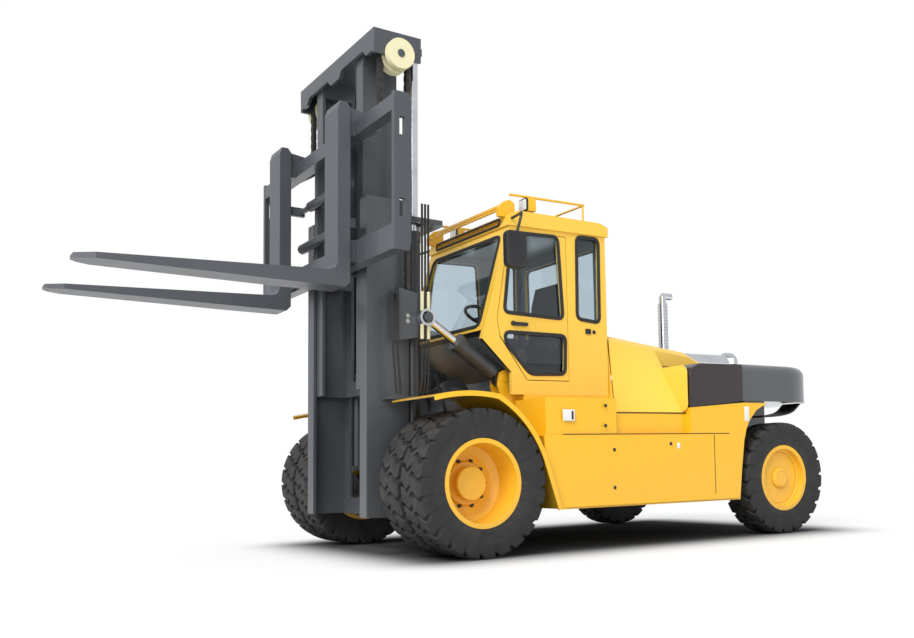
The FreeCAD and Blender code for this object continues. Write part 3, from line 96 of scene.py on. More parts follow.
def skin(rings, wrap=False):
    """Faces (a, b), (a+1, b), (a+1, b+1), (a, b+1) over rings[a, b]; wrap joins the last ring to the first."""
    rings = np.asarray(rings, float)
    rows, columns = rings.shape[:2]
    a = np.arange(rows if wrap else rows - 1)[:, None]
    b = np.arange(columns)[None]
    a2, b2 = (a + 1) % rows, (b + 1) % columns
    corners = [a * columns + b, a2 * columns + b, a2 * columns + b2, a * columns + b2]
    faces = [np.stack(np.broadcast_arrays(*corners), -1).reshape(-1, 4)]
    if not wrap:
        ring = np.arange(columns)
        faces.append(np.stack([ring, (rows - 1) * columns + ring[::-1]]))
    return outward(rings.reshape(-1, 3), faces)


def piece(name, body, finish, parts, place=truck, smooth=35, slot=None, **fields):
    """Joins parts into one mesh: a part's face numbers are raised by the points before it."""
    base, points, loops, sizes = 0, [], [], []
    for xyz, faces in parts:
        points.append(place(xyz))
        for group in faces:
            loops.append((group + base).ravel())
            sizes.append(np.full(len(group), group.shape[1]))
        base += len(xyz)
    points, loops, sizes = np.concatenate(points), np.concatenate(loops), np.concatenate(sizes)
    mesh = bpy.data.meshes.new(name)
    mesh.vertices.add(base)
    mesh.vertices.foreach_set("co", points.astype(np.float32).ravel())
    mesh.loops.add(len(loops))
    mesh.loops.foreach_set("vertex_index", loops.astype(np.int32))
    mesh.polygons.add(len(sizes))
    mesh.polygons.foreach_set("loop_start", (np.cumsum(sizes) - sizes).astype(np.int32))
    mesh.update(calc_edges=True)
    mesh.validate()
    mesh.polygons.foreach_set("use_smooth", np.ones(len(mesh.polygons), bool))
    mesh.set_sharp_from_angle(angle=math.radians(smooth))
    for field, values in fields.items():
        mesh.attributes.new(field, "FLOAT", "POINT").data.foreach_set("value", values.astype(np.float32))
    mesh.materials.append(finish)
    made = bpy.data.objects.new(name, mesh)
    bpy.context.scene.collection.objects.link(made)
    if body:
        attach(made, body)
    print(name, len(points), "points", sum(sizes - 2), "triangles")
    return made


# %% [markdown]
# ## A small set of profiles
# Most fittings on a truck are one of four things: a rounded block, a turned part, a bent tube or a rubber
# seal that runs round a window. Each is a ring carried along an axis or a path. The rounded edges matter
# more than the faces, because they are what catches the light.

# %% Blocks, turned parts and tubes
AXES = {"X": (1, 2, 0), "Y": (0, 2, 1), "Z": (0, 1, 2)}


def laid(a, b, c, along):
    """Puts two plane coordinates and a height on the axes named by AXES."""
    out = np.empty(np.broadcast_shapes(a.shape, b.shape, c.shape) + (3,))
    for axis, value in zip(AXES[along], (a, b, c)):
        out[..., axis] = value
    return out


def rounded(half_a, half_b, corner, steps=5):
    """Outline: four corner centres, each with a quarter circle of radius corner."""
    turn = np.linspace(0, math.pi / 2, steps)
    angle = np.concatenate([turn + k * math.pi / 2 for k in range(4)])
    side = np.repeat([[1, 1], [-1, 1], [-1, -1], [1, -1]], steps, axis=0)
    return side * [half_a - corner, half_b - corner] + corner * np.stack([np.cos(angle), np.sin(angle)], -1)


def slab(centre, half, corner=0.006, edge=0.003, along="X", turn=0.0, steps=4):
    """Rings inset by edge (1 - cos t) at the height c - edge + edge sin t, on both ends of a rounded block."""
    a, b, c = half
    corner = min(corner, a * 0.999, b * 0.999)
    edge = min(edge, c * 0.999, corner * 0.98)
    t = np.linspace(0, math.pi / 2, 3)
    inset = edge * (1 - np.cos(t))
    height = c - edge + edge * np.sin(t)
    rows = list(zip(inset[::-1], -height[::-1])) + list(zip(inset, height))
    outlines = np.array([rounded(a - i, b - i, corner - i, steps) for i, _ in rows])
    u = outlines[..., 0] * math.cos(turn) - outlines[..., 1] * math.sin(turn)
    v = outlines[..., 0] * math.sin(turn) + outlines[..., 1] * math.cos(turn)
    heights = np.array([h for _, h in rows])[:, None]
    return skin(laid(u, v, heights, along) + np.asarray(centre, float))


def lathe(profile, centre, along="X", count=32, wrap=False):
    """p = centre + a on the axis + r (cos t, sin t), for a profile of (a, r)."""
    profile = np.asarray(profile, float)
    t = 2 * math.pi * np.arange(count) / count
    a, r = profile[:, :1], profile[:, 1:]
    return skin(laid(r * np.cos(t), r * np.sin(t), a, along) + np.asarray(centre, float), wrap)


def flow(points, per=8):
    """Catmull-Rom: 0.5 (2b + (c-a)t + (2a-5b+4c-d)t^2 + (3b-a-3c+d)t^3) between b and c."""
    p = np.asarray(points, float)
    p = np.concatenate([2 * p[:1] - p[1:2], p, 2 * p[-1:] - p[-2:-1]])
    t = (np.arange(per) / per)[None, :, None]
    a, b, c, d = (p[k : len(p) - 3 + k, None] for k in range(4))
    curve = 0.5 * (2 * b + (c - a) * t + (2 * a - 5 * b + 4 * c - d) * t**2 + (3 * b - a - 3 * c + d) * t**3)
    return np.concatenate([curve.reshape(-1, p.shape[1]), p[-2:-1]])


def bent(corners, radius, closed=False, steps=6):
    """Each corner becomes a curve (1-t)^2 E + 2t(1-t) P + t^2 X from a point before it to one after it."""
    p = np.asarray(corners, float)
    before, after = np.roll(p, 1, 0) - p, np.roll(p, -1, 0) - p
    ease = [radius / np.maximum(np.linalg.norm(v, axis=1, keepdims=True), 1e-9) for v in (before, after)]
    e, x = (p + v * np.minimum(k, 0.5) for v, k in zip((before, after), ease))
    t = np.linspace(0, 1, steps)[None, :, None]
    curve = (1 - t) ** 2 * e[:, None] + 2 * t * (1 - t) * p[:, None] + t**2 * x[:, None]
    if closed:
        return curve.reshape(-1, 3)
    return np.concatenate([p[:1], curve[1:-1].reshape(-1, 3), p[-1:]])


def tube(path, radius=0.01, sides=12, closed=False, section=None, ref=(1, 0, 0)):
    """Section (u, v) carried along the path on u = ahead x ref and v = u x ahead."""
    path = np.asarray(path, float)
    ahead = np.roll(path, -1, 0) - np.roll(path, 1, 0) if closed else np.gradient(path, axis=0)
    ahead /= np.linalg.norm(ahead, axis=1, keepdims=True)
    u = np.cross(ahead, ref)
    u /= np.linalg.norm(u, axis=1, keepdims=True)
    v = np.cross(u, ahead)
    if section is None:
        t = 2 * math.pi * np.arange(sides) / sides
        section = radius * np.stack([np.cos(t), np.sin(t)], -1)
    section = np.asarray(section, float)
    rings = path[:, None] + section[None, :, :1] * u[:, None] + section[None, :, 1:] * v[:, None]
    return skin(rings, closed)


def both(part):
    """The part and its mirror image across x = 0, whose faces are turned to look outwards again."""
    points, faces = part
    return [part, (points * [-1, 1, 1], [group[:, ::-1] for group in faces])]


def round_head(centre, radius, high, along="X", count=6):
    """A bolt: a washer, then a chamfered hexagon (count=6) or a domed head (larger counts)."""
    profile = [
        (0, radius * 1.35), (high * 0.25, radius * 1.35), (high * 0.25, radius), (high * 0.85, radius),
        (high, radius * 0.8),
    ]
    return lathe(profile, centre, along, count)


# %% [markdown]
# ## Shader maths as expressions
# A finish is mostly arithmetic on noise and on position, and arithmetic reads best as arithmetic. A Wire
# stands for one socket, so that `1 - dust * 0.4` adds its Math nodes by itself. Colours don't go through
# Math nodes, which would turn them grey, so a Finish has a method that mixes colours and one for all else.

# %% Wires and finishes
class Wire:
    """One output socket; + - * / build Math nodes."""

    def __init__(self, finish, socket):
        self.finish, self.socket = finish, socket

    def __add__(self, other):
        return self.finish.maths("ADD", self, other)

    def __sub__(self, other):
        return self.finish.maths("SUBTRACT", self, other)

    def __rsub__(self, other):
        return self.finish.maths("SUBTRACT", other, self)

    def __mul__(self, other):
        return self.finish.maths("MULTIPLY", self, other)

    __radd__, __rmul__ = __add__, __mul__

    def between(self, low, high):
        """0 at low, 1 at high, clamped."""
        return self.finish.node(
            "MapRange", {"clamp": True}, {"Value": self, "From Min": low, "From Max": high},
        )


class Finish:
    """A material under construction."""

    def __init__(self, name):
        self.material = bpy.data.materials.new(name)
        self.material.use_nodes = True
        self.tree = self.material.node_tree
        self.tree.nodes.clear()
        self.out = self.tree.nodes.new("ShaderNodeOutputMaterial")
        self.place = self.node("TexCoord", output="Object")

    def node(self, kind, settings=None, sockets=None, output=0, stops=None):
        made = self.tree.nodes.new("ShaderNode" + kind)
        for key, value in (settings or {}).items():
            setattr(made, key, value)
        if stops:
            for k, (position, colour) in enumerate(stops):
                mark = made.color_ramp.elements[k] if k < 2 else made.color_ramp.elements.new(position)
                mark.position, mark.color = position, (*colour, 1)
        for key, value in (sockets or {}).items():
            self.plug(made.inputs[key], value)
        return Wire(self, made.outputs[output])

    def plug(self, socket, value):
        if isinstance(value, Wire):
            self.tree.links.new(value.socket, socket)
        elif hasattr(socket.default_value, "__len__") and len(socket.default_value) == 4:
            socket.default_value = (*value, 1)[:4]
        else:
            socket.default_value = value

    def maths(self, operation, *values):
        return self.node("Math", {"operation": operation}, dict(enumerate(values)))

    def mix(self, factor, a, b):
        return self.node("Mix", {"data_type": "RGBA"}, {0: factor, 6: a, 7: b}, output=2)

    def noise(self, scale, detail=3, rough=0.5, stretch=None):
        """Noise on object coordinates; stretch scales the axes first."""
        where = self.place
        if stretch:
            where = self.node("Mapping", sockets={"Vector": where, "Scale": stretch})
        return self.node(
            "TexNoise", sockets={"Vector": where, "Scale": scale, "Detail": detail, "Roughness": rough},
        )

    def axis(self, k):
        """One object coordinate in metres: 0 across, 1 along, 2 up from the ground."""
        return self.node("SeparateXYZ", sockets={0: self.place}, output=k)

    def facing(self, k):
        """One part of the face's own normal."""
        return self.node("SeparateXYZ", sockets={0: self.node("NewGeometry", output=3)}, output=k)

    def above(self, value, limit):
        """1 where value is over limit, else 0."""
        return self.maths("GREATER_THAN", value, limit)

    def edges(self, radius):
        """Where a normal rounded over radius differs from the face's own: 0 on the flat, 1 on an edge."""
        soft = self.node("Bevel", {"samples": 4}, {"Radius": radius})
        flat = self.node("NewGeometry", output=3)
        along = self.node("VectorMath", {"operation": "DOT_PRODUCT"}, {0: soft, 1: flat}, output=1)
        return soft, (1 - along).between(0.02, 0.3)

    def bump(self, strength, distance, height, normal=None):
        sockets = {"Strength": strength, "Distance": distance, "Height": height}
        if normal:
            sockets["Normal"] = normal
        return self.node("Bump", sockets=sockets)

    def done(self, **sockets):
        surface = self.node("BsdfPrincipled", sockets={k.replace("_", " "): v for k, v in sockets.items()})
        self.plug(self.out.inputs["Surface"], surface)
        return self.material


# %% [markdown]
# ## Paint that has been at work
# The photograph shows clean yellow paint with a soft gloss, a faint orange peel, and dust that gathers low
# down and in streaks. The formula mixes a dust colour by height and noise, lets the edges wear a little
# lighter, and rounds every sheet edge in the shader, because real sheet metal has no knife edges.

# %% Painted metal
def paint(
    name, colour, rough=0.32, dust=(0.42, 0.34, 0.22), dusty=0.35, worn=None, peel=0.05, grain=260.0,
    coat=0.25, radius=0.006, tint=None,
):
    f = Finish(name)
    cloud = f.noise(1.7, 4, 0.55)
    streak = f.noise(6.0, 3, 0.6, (2.2, 2.2, 0.18))
    low = 1 - f.axis(2).between(0.15, 1.5)
    soft, edge = f.edges(radius)
    shade = f.mix((cloud - 0.35).between(0, 0.4) * 0.5, tuple(0.93 * c for c in colour), colour)
    grime = (streak.between(0.5, 0.78) * 0.35 + low * low * 0.6) * dusty
    shade = f.mix(grime, shade, dust)
    shade = f.mix(edge * 0.28, shade, worn or tuple(min(1, c * 1.25 + 0.03) for c in colour))
    if tint:
        shade = tint(f, shade)
    normal = f.bump(peel, 0.0008, f.noise(grain, 2), soft)
    return f.done(
        Base_Color=shade,
        Roughness=(rough + (cloud - 0.5) * 0.12 + grime * 0.5),
        Coat_Weight=coat,
        Coat_Roughness=0.12,
        Normal=normal,
    )


CAB_MIDDLE, CAB_REACH = 0.275, 0.641
CAB_SLOPE, CAB_AHEAD, CAB_BEHIND = 0.3075, -0.895, 0.950
CAB_FLOOR, CAB_KNEE = 1.36, 1.9


def cab_grey_and_shade(f, shade):
    """Grey where a point lies inside the cab's walls; painted shade, near black, where a face below the cab's knee
    and outside its walls looks down.
    """
    across = 1 - f.above(f.maths("ABSOLUTE", f.axis(0) - CAB_MIDDLE), CAB_REACH)
    ahead = f.above(f.axis(1) - f.axis(2) * CAB_SLOPE, CAB_AHEAD)
    behind = 1 - f.above(f.axis(1), CAB_BEHIND)
    inside = across * ahead * behind * f.above(f.axis(2), CAB_FLOOR)
    shade = f.mix(inside, shade, (0.135, 0.16, 0.17))
    # Painted shade: faces that look down below the knee line, outside the cab, are mixed to near black.
    shade_below = (1 - f.above(f.facing(2), -0.3)) * (1 - f.above(f.axis(2), CAB_KNEE)) * (1 - inside)
    return f.mix(shade_below, shade, (0.008, 0.008, 0.009))


def painted_underside_shade(f, shade):
    """Painted shade: dark olive where a sheet looks down, fading out between 1.2 and 1.6 m."""
    shade_below = (1 - f.above(f.facing(2), -0.15)) * (1 - f.axis(2).between(1.2, 1.6))
    return f.mix(shade_below * 0.55, shade, (0.10, 0.075, 0.012))


# Painted shade: BODY darkens faces that look down, and CAB darkens those under its low front.
BODY = paint("yellow paint", (0.93, 0.50, 0.010), dusty=0.10, worn=(0.97, 0.60, 0.05), tint=painted_underside_shade)
CAB = paint("cab paint", (0.93, 0.57, 0.055), worn=(0.96, 0.68, 0.16), dusty=0.10, tint=cab_grey_and_shade)
HOOD = paint("hood paint", (0.93, 0.58, 0.065), worn=(0.96, 0.68, 0.18), dusty=0.10)
RIM = paint("wheel paint", (0.93, 0.49, 0.012), rough=0.36, dusty=0.22, worn=(0.97, 0.60, 0.06), coat=0.2)
MAST = paint(
    "mast paint", (0.064, 0.071, 0.079), rough=0.36, dust=(0.20, 0.18, 0.16), dusty=0.20,
    worn=(0.16, 0.17, 0.18), peel=0.10, grain=120.0, coat=0.25,
)
FORK = paint(
    "fork paint", (0.070, 0.076, 0.087), rough=0.40, dust=(0.15, 0.115, 0.085), dusty=0.35,
    worn=(0.20, 0.20, 0.20), peel=0.22, grain=60.0, coat=0.15,
)
WEIGHT = paint(
    "cast weight paint", (0.068, 0.076, 0.082), rough=0.24, dust=(0.2, 0.18, 0.15), dusty=0.12,
    worn=(0.12, 0.13, 0.135), peel=0.25, grain=38.0, coat=0.6, radius=0.02,
)
CHEEK = paint(
    "brown paint", (0.024, 0.013, 0.012), rough=0.32, dust=(0.10, 0.07, 0.06), dusty=0.15,
    worn=(0.06, 0.045, 0.04), coat=0.35, radius=0.02,
)
BLACK = paint(
    "black paint", (0.011, 0.011, 0.012), rough=0.42, dust=(0.13, 0.11, 0.08), dusty=0.35,
    worn=(0.06, 0.06, 0.06), coat=0.1,
)
HOUSING = paint(
    "housing paint", (0.036, 0.039, 0.044), rough=0.38, dust=(0.16, 0.14, 0.12), dusty=0.35,
    worn=(0.10, 0.10, 0.10), coat=0.2,
)
ENGINE = paint(
    "engine paint", (0.13, 0.135, 0.14), rough=0.5, dust=(0.18, 0.14, 0.1), dusty=0.8, coat=0.0, peel=0.3,
    grain=50.0,
)
CREAM = paint("cream plastic", (0.80, 0.74, 0.46), rough=0.45, dusty=0.15, coat=0.0)
PLATE = paint("pale plate", (0.80, 0.80, 0.78), rough=0.4, dusty=0.05, coat=0.0)
SEAM = paint("seam shadow", (0.055, 0.035, 0.008), rough=0.7, dusty=0.1, coat=0.0)

# %% [markdown]
# ## Rubber, glass, metal and cloth
# Tyre rubber is never black: its blocks are scuffed grey-brown, so the tyre's own attribute says how high
# each point stands on its tread. Glass bends light but lets shadows through, so the cab stays light inside.
# Chrome, chain steel and seat cloth take one node group's worth of noise each.

# %% Rubber
def rubber(name, tread=False):
    f = Finish(name)
    cloud = f.noise(9.0, 5, 0.6)
    fine = f.noise(150.0, 3, 0.6)
    shade = f.mix((cloud - 0.4).between(0, 0.35) * 0.6, (0.014, 0.014, 0.015), (0.034, 0.031, 0.028))
    if tread:
        high = f.node("Attribute", {"attribute_name": "tread"}, output=2)
        shade = f.mix(high * cloud.between(0.35, 0.7) * 0.6, shade, (0.062, 0.055, 0.047))
    return f.done(Base_Color=shade, Roughness=0.72 + (cloud - 0.5) * 0.2, Normal=f.bump(0.25, 0.0015, fine))


RUBBER = rubber("black rubber")
TREAD = rubber("tyre rubber", tread=True)


# %% Glass, chrome, chain and cloth
def glass(name, tint):
    f = Finish(name)
    clear = f.node(
        "BsdfPrincipled",
        sockets={"Base Color": tint, "Roughness": 0.0, "Transmission Weight": 1.0, "IOR": 1.45},
    )
    open_ = f.node("BsdfTransparent", sockets={"Color": tuple(0.5 + 0.5 * c for c in tint)})
    shadow = f.node("LightPath", output=1)
    both_ = f.node("MixShader", sockets={0: shadow, 1: clear, 2: open_})
    f.plug(f.out.inputs["Surface"], both_)
    return f.material


def metal(name, colour, rough, scratch=0.2, grain=90.0, metallic=1.0):
    f = Finish(name)
    rub = f.noise(grain, 4, 0.65, (1, 1, 0.12))
    cloud = f.noise(5.0, 4)
    shade = f.mix(cloud.between(0.35, 0.75) * 0.4, colour, tuple(0.55 * c for c in colour))
    return f.done(
        Base_Color=shade, Metallic=metallic, Roughness=rough + rub * scratch, Normal=f.bump(0.1, 0.0005, rub),
    )


GLASS = glass("cab glass", (0.80, 0.88, 0.91))
CHROME = metal("rod chrome", (0.78, 0.79, 0.80), 0.08, 0.12)
STEEL = metal("chain steel", (0.075, 0.07, 0.065), 0.38, 0.25, metallic=0.7)
ZINC = metal("bright zinc", (0.55, 0.54, 0.50), 0.28, 0.25)
LENS = metal("lamp lens", (0.86, 0.88, 0.88), 0.12, 0.1, 300.0, metallic=0.25)

cloth = Finish("seat cloth")
weave = cloth.node(
    "TexWave", {"wave_profile": "TRI"}, {"Vector": cloth.place, "Scale": 260.0, "Distortion": 0.6},
)
CLOTH = cloth.done(
    Base_Color=cloth.mix(weave * 0.5, (0.022, 0.023, 0.027), (0.05, 0.052, 0.058)),
    Roughness=0.85, Sheen_Weight=0.3, Normal=cloth.bump(0.3, 0.001, weave),
)

# %% [markdown]
# ## Finishes for the frame's own nodes
# Every rigid node keeps its shape and takes a finish by name. The list follows what each thing is made of,
# so the left and right copies of a piece share an entry.

# %% Assign finishes
FINISHES = {
    BODY: "side_bodies side_skins cab_base fenders tilt_mounts roof_rack work_lamps",
    HOOD: "hood_frame hood_left hood_right",
    CAB: "cab_shell cab_roof door",
    RIM: "drive_rims_left drive_rims_right steer_rim_left steer_rim_right",
    MAST: "outer_mast inner_mast crosshead carriage",
    HOUSING: "lift_barrels fork_positioners tilt_barrel_left tilt_barrel_right transmission",
    FORK: "fork_left fork_right",
    WEIGHT: "counterweight",
    CHEEK: "cheeks",
    BLACK: "frame drive_axle steer_axle knuckle_left knuckle_right dash mirrors",
    ENGINE: "engine_block",
    TREAD: "drive_tyres_left drive_tyres_right steer_tyre_left steer_tyre_right",
    GLASS: "cab_glass door_glass",
    CHROME: "lift_rods tilt_rod_left tilt_rod_right exhaust",
    STEEL: "chain_fronts chain_rears chain_wraps",
    CREAM: "sheaves",
    CLOTH: "seat",
}
for finish, names in FINISHES.items():
    for name in names.split():
        nodes[name].data.materials.clear()
        nodes[name].data.materials.append(finish)
left_bare = set(nodes) - set(" ".join(FINISHES.values()).split())
print("nodes without a finish", sorted(left_bare))

# %% [markdown]
# ## Tyres
# A lugged tyre is one closed surface: a profile from bead to bead, turned round the axle, whose crown is
# either groove or block. Two profiles are drawn, one through the grooves and one over the blocks, and a
# mask between 0 and 1 picks a point between them. The mask has two rows that are half a pitch out of step,
# and the columns of the grid lie exactly on the block edges, which keeps them crisp with few faces.

# %% Tyre profiles
DRIVE_RADIUS, STEER_RADIUS = 0.600, 0.545
WHEELBASE = 3.53
HALF_TYRE = 0.1575
GROOVE = [
    (0, -0.024), (0.3, -0.024), (0.55, -0.025), (0.75, -0.028), (0.88, -0.034), (0.955, -0.050),
    (0.975, -0.075), (0.980, -0.112),
]
BLOCK = [
    (0, -0.001), (0.3, 0.0), (0.6, -0.001), (0.85, -0.004), (0.955, -0.010), (0.990, -0.024), (1.0, -0.060),
    (0.998, -0.112),
]
WALL = [(0.984, -0.120), (0.975, -0.132), (0.960, -0.137), (0.962, -0.145), (0.952, -0.165), (0.935, -0.190)]
PHASE = [0, 0.03, 0.06, 0.12, 0.25, 0.38, 0.50, 0.53, 0.56, 0.62, 0.74, 0.80, 0.83, 0.90]


def torus(points, rows):
    """Faces of a grid whose rows and columns both wrap round."""
    columns = len(points) // rows
    a, b = np.meshgrid(np.arange(rows), np.arange(columns), indexing="ij")
    a2, b2 = (a + 1) % rows, (b + 1) % columns
    quads = np.stack([a * columns + b, a2 * columns + b, a2 * columns + b2, a * columns + b2], -1).reshape(
        -1, 4,
    )
    return outward(points, [quads])


def tyre(x_mid, axle, radius, rim, flange, count=24, half=HALF_TYRE):
    """p = axle + (x, r sin t, r cos t), where (x, r) lies mask of the way from GROOVE to BLOCK."""
    depth = radius - flange
    bead = [
        (0.900, -0.8 * depth - 0.04), (0.880, -depth + 0.012), (0.860, -depth), (0.800, -depth - 0.006),
        (0.780, rim - radius + 0.001),
    ]
    sides = []
    for crown in (GROOVE, BLOCK):
        line = np.concatenate([flow(crown, 3), flow(WALL + bead, 2)])
        sides.append(np.concatenate([line[::-1] * [-1, 1], line[1:]]))
    low, high = sides
    x_rel = (low[:, 0] + high[:, 0]) / 2
    u = (np.arange(count)[:, None] + np.array(PHASE)[None]).ravel()
    near, far = (
        np.interp((u + shift) % 1, [0, 0.03, 0.06, 0.80, 0.83, 1], [0, 0, 1, 1, 0, 0])
        for shift in (0, 0.5)
    )
    share = np.clip(x_rel / 0.08 + 0.5, 0, 1)[None]
    mask = near[:, None] * (1 - share) + far[:, None] * share
    x = low[None, :, 0] + mask * (high - low)[None, :, 0]
    r = radius + low[None, :, 1] + mask * (high - low)[None, :, 1]
    skew = 0.16 * np.sin(6 * np.minimum(abs(x_rel), 1)) * np.sign(x_rel)
    t = 2 * math.pi * (u[:, None] + skew[None]) / count
    grid = np.stack([x_mid + x * half, r * np.sin(t), r * np.cos(t)], -1) + np.asarray(axle, float)
    tread = mask * np.clip((0.99 - abs(x_rel)) * 8, 0, 1)[None]
    return torus(grid.reshape(-1, 3), len(u)), tread.ravel()


# %% [markdown]
# The tyre's surface closes on itself both round the axle and from bead to bead, and a bead lies inside the
# rim's wall. The two tyres of a pair are one piece, because they turn together.

# %% Build the tyres
DRIVE_MIDS = (1.2725, 1.2725 - 0.363)
for side, sign in (("left", 1), ("right", -1)):
    made = [tyre(sign * x, (0, 0, DRIVE_RADIUS), DRIVE_RADIUS, 0.338, 0.358) for x in DRIVE_MIDS]
    tread = np.concatenate([t for _, t in made])
    twin = piece(
        f"drive_tyre_pair_{side}", f"drive_wheels_{side}", TREAD, [part for part, _ in made], smooth=32,
        slot="tyre_rubber", tread=tread,
    )
    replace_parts(twin, f"drive_tyres_{side}")
    part, tread = tyre(
        sign * (1.383 - HALF_TYRE), (0, WHEELBASE, STEER_RADIUS), STEER_RADIUS, 0.300, 0.320, count=22,
    )
    single = piece(
        f"steer_tyre_tread_{side}", f"steer_wheel_{side}", TREAD, [part], smooth=32, slot="tyre_rubber",
        tread=tread,
    )
    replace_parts(single, f"steer_tyre_{side}")

# %% [markdown]
# ## Wheel nuts and hubs
# Each wheel is held by a circle of bolts. The drive hub ends in a flat disc, and the steer wheel has a dished
# disc whose five small holes are thin black discs of painted shade. All are turned parts whose profiles list
# (distance along the axle, radius).

# %% Nuts on their bolt circles
def circle_of(part_of, radius, count, x, y, z):
    t = 2 * math.pi * (np.arange(count) + 0.5) / count
    return [part_of((x, y + radius * math.sin(a), z + radius * math.cos(a))) for a in t]


DRIVE_CAP = [
    (-0.02, 0.137), (0.004, 0.137), (0.010, 0.133), (0.012, 0.120), (0.012, 0.060), (0.014, 0.055),
    (0.014, 0.001),
]
DISH = [
    (0.062, 0.283), (0.075, 0.280), (0.072, 0.262), (0.046, 0.236), (0.040, 0.215), (0.042, 0.130),
    (0.052, 0.120), (0.052, 0.106), (0.078, 0.100), (0.092, 0.082), (0.094, 0.070), (0.090, 0.066),
    (0.092, 0.001),
]
for side, sign in (("left", 1), ("right", -1)):
    def turned(profile, x, y, z, count=40, sign=sign):
        return lathe([(sign * a, r) for a, r in profile], (sign * x, y, z), count=count)

    bolts = circle_of(
        lambda c: round_head((sign * c[0], c[1], c[2]), sign * 0.016, sign * 0.026),
        0.185, 10, 1.117, 0, DRIVE_RADIUS,
    )
    piece(f"drive_nuts_{side}", f"drive_wheels_{side}", BLACK, bolts, smooth=30)
    piece(
        f"drive_hub_{side}", f"drive_wheels_{side}", RIM, [turned(DRIVE_CAP, 1.222, 0, DRIVE_RADIUS)],
        smooth=30, slot="body_yellow",
    )
    bolts = circle_of(
        lambda c: round_head((sign * c[0], c[1], c[2]), sign * 0.015, sign * 0.024),
        0.170, 10, 1.276, WHEELBASE, STEER_RADIUS,
    )
    # Painted shade: the dish's five holes are thin black discs, dark as the inside of a hole.
    hole_shades = circle_of(
        lambda c: turned([(0, 0.012), (0.002, 0.011), (0.002, 0.001)], c[0], c[1], c[2], 12),
        0.225, 5, 1.276, WHEELBASE, STEER_RADIUS,
    )
    piece(f"steer_nuts_{side}", f"steer_wheel_{side}", RIM, bolts, smooth=30, slot="body_yellow")
    piece(f"steer_hole_shades_{side}", f"steer_wheel_{side}", BLACK, hole_shades, smooth=30)
    piece(
        f"steer_dish_{side}", f"steer_wheel_{side}", RIM, [turned(DISH, 1.236, WHEELBASE, STEER_RADIUS)],
        smooth=30, slot="body_yellow",
    )

# %% [markdown]
# ## Lift chains
# A leaf chain is plates and pins only. Every link is the same oval plate, repeated across the chain's width,
# and links of odd number sit in the gaps of those of even number. All plates come from one outline that is
# shifted and turned along the chain's path as arrays. The straight strands run between the sheave and the
# piece that they pull.

# %% Chain links along a path
def chain(path, x_mid, pitch=0.038, high=0.036, wide=0.060, plate=0.0062):
    """Plate corner = mid + u ahead + v across + x, with (u, v) on an oval and x in alternate slots."""
    path = np.asarray(path, float)
    run = np.concatenate([[0], np.cumsum(np.linalg.norm(np.diff(path, axis=0), axis=1))])
    count = max(int(run[-1] / pitch), 1)
    stops = np.linspace(0, run[-1], count + 1)
    pins = np.stack([np.interp(stops, run, path[:, k]) for k in range(2)], -1)
    mid, ahead = (pins[1:] + pins[:-1]) / 2, np.diff(pins, axis=0)
    step = np.linalg.norm(ahead, axis=1).mean()
    ahead /= np.linalg.norm(ahead, axis=1, keepdims=True)
    across = np.stack([-ahead[:, 1], ahead[:, 0]], -1)
    oval = rounded(step / 2 + high * 0.48, high / 2, high * 0.48, 3)
    flat = mid[:, None] + oval[None, :, :1] * ahead[:, None] + oval[None, :, 1:] * across[:, None]
    parts = []
    for parity in (0, 1):
        slots = np.arange(-wide / 2 + plate * (0.7 + parity * 1.05), wide / 2, plate * 2.1)
        some = flat[parity::2]
        rings = np.empty((len(slots), len(some), 2, len(oval), 3))
        rings[..., 1:] = some[None, :, None]
        rings[..., 0] = x_mid + slots[:, None, None, None] + plate * np.array([-0.5, 0.5])[
            None, None, :, None,
        ]
        one = skin(rings[0, 0])
        every = rings.reshape(-1, 2 * len(oval), 3)
        base = np.arange(len(every)) * 2 * len(oval)
        parts.append(
            (every.reshape(-1, 3), [(g[None] + base[:, None, None]).reshape(-1, g.shape[1]) for g in one[1]])
        )
    t = 2 * math.pi * np.arange(8) / 8
    heads = np.empty((len(pins), 2, 8, 3))
    heads[..., 1:] = pins[:, None, None] + 0.0075 * np.stack([np.cos(t), np.sin(t)], -1)[None, None]
    heads[..., 0] = x_mid + (wide / 2 + 0.004) * np.array([-1, 1])[None, :, None]
    one = skin(heads[0])
    base = np.arange(len(heads)) * 16
    parts.append(
        (heads.reshape(-1, 3), [(g[None] + base[:, None, None]).reshape(-1, g.shape[1]) for g in one[1]])
    )
    return parts


SHEAVE_Y, SHEAVE_Z, SHEAVE_R = -0.430, 4.155, 0.127
turn = np.linspace(0, math.pi, 14)
wrap = np.stack([SHEAVE_Y + SHEAVE_R * np.cos(turn), SHEAVE_Z + SHEAVE_R * np.sin(turn)], -1)
front = [(SHEAVE_Y - SHEAVE_R, SHEAVE_Z), (SHEAVE_Y - SHEAVE_R, 3.560)]
rear = [(SHEAVE_Y + SHEAVE_R, 2.235), (SHEAVE_Y + SHEAVE_R, SHEAVE_Z)]
strands = {"front": front, "wrap": wrap, "rear": rear}
built = {key: sum((chain(path, x) for x in (0.7, -0.7)), []) for key, path in strands.items()}
chain_wrap = piece("leaf_chain_wraps", "inner_mast", STEEL, built["wrap"], mast, 30, "chain_steel")
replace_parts(chain_wrap, "chain_wraps")
chain_front = piece("leaf_chain_fronts", None, STEEL, built["front"], mast, 30, "chain_steel")
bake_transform(chain_front)
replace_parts(chain_front, "chain_fronts")
chain_rear = piece("leaf_chain_rears", None, STEEL, built["rear"], mast, 30, "chain_steel")
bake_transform(chain_rear)
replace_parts(chain_rear, "chain_rears")

# %% [markdown]
# ## Window seals
# Every pane of the cab sits in a black rubber seal with rounded corners. A seal is a small flat section
# carried round the window's outline. The outlines are the cut-outs of the cab, so a seal covers the edge.

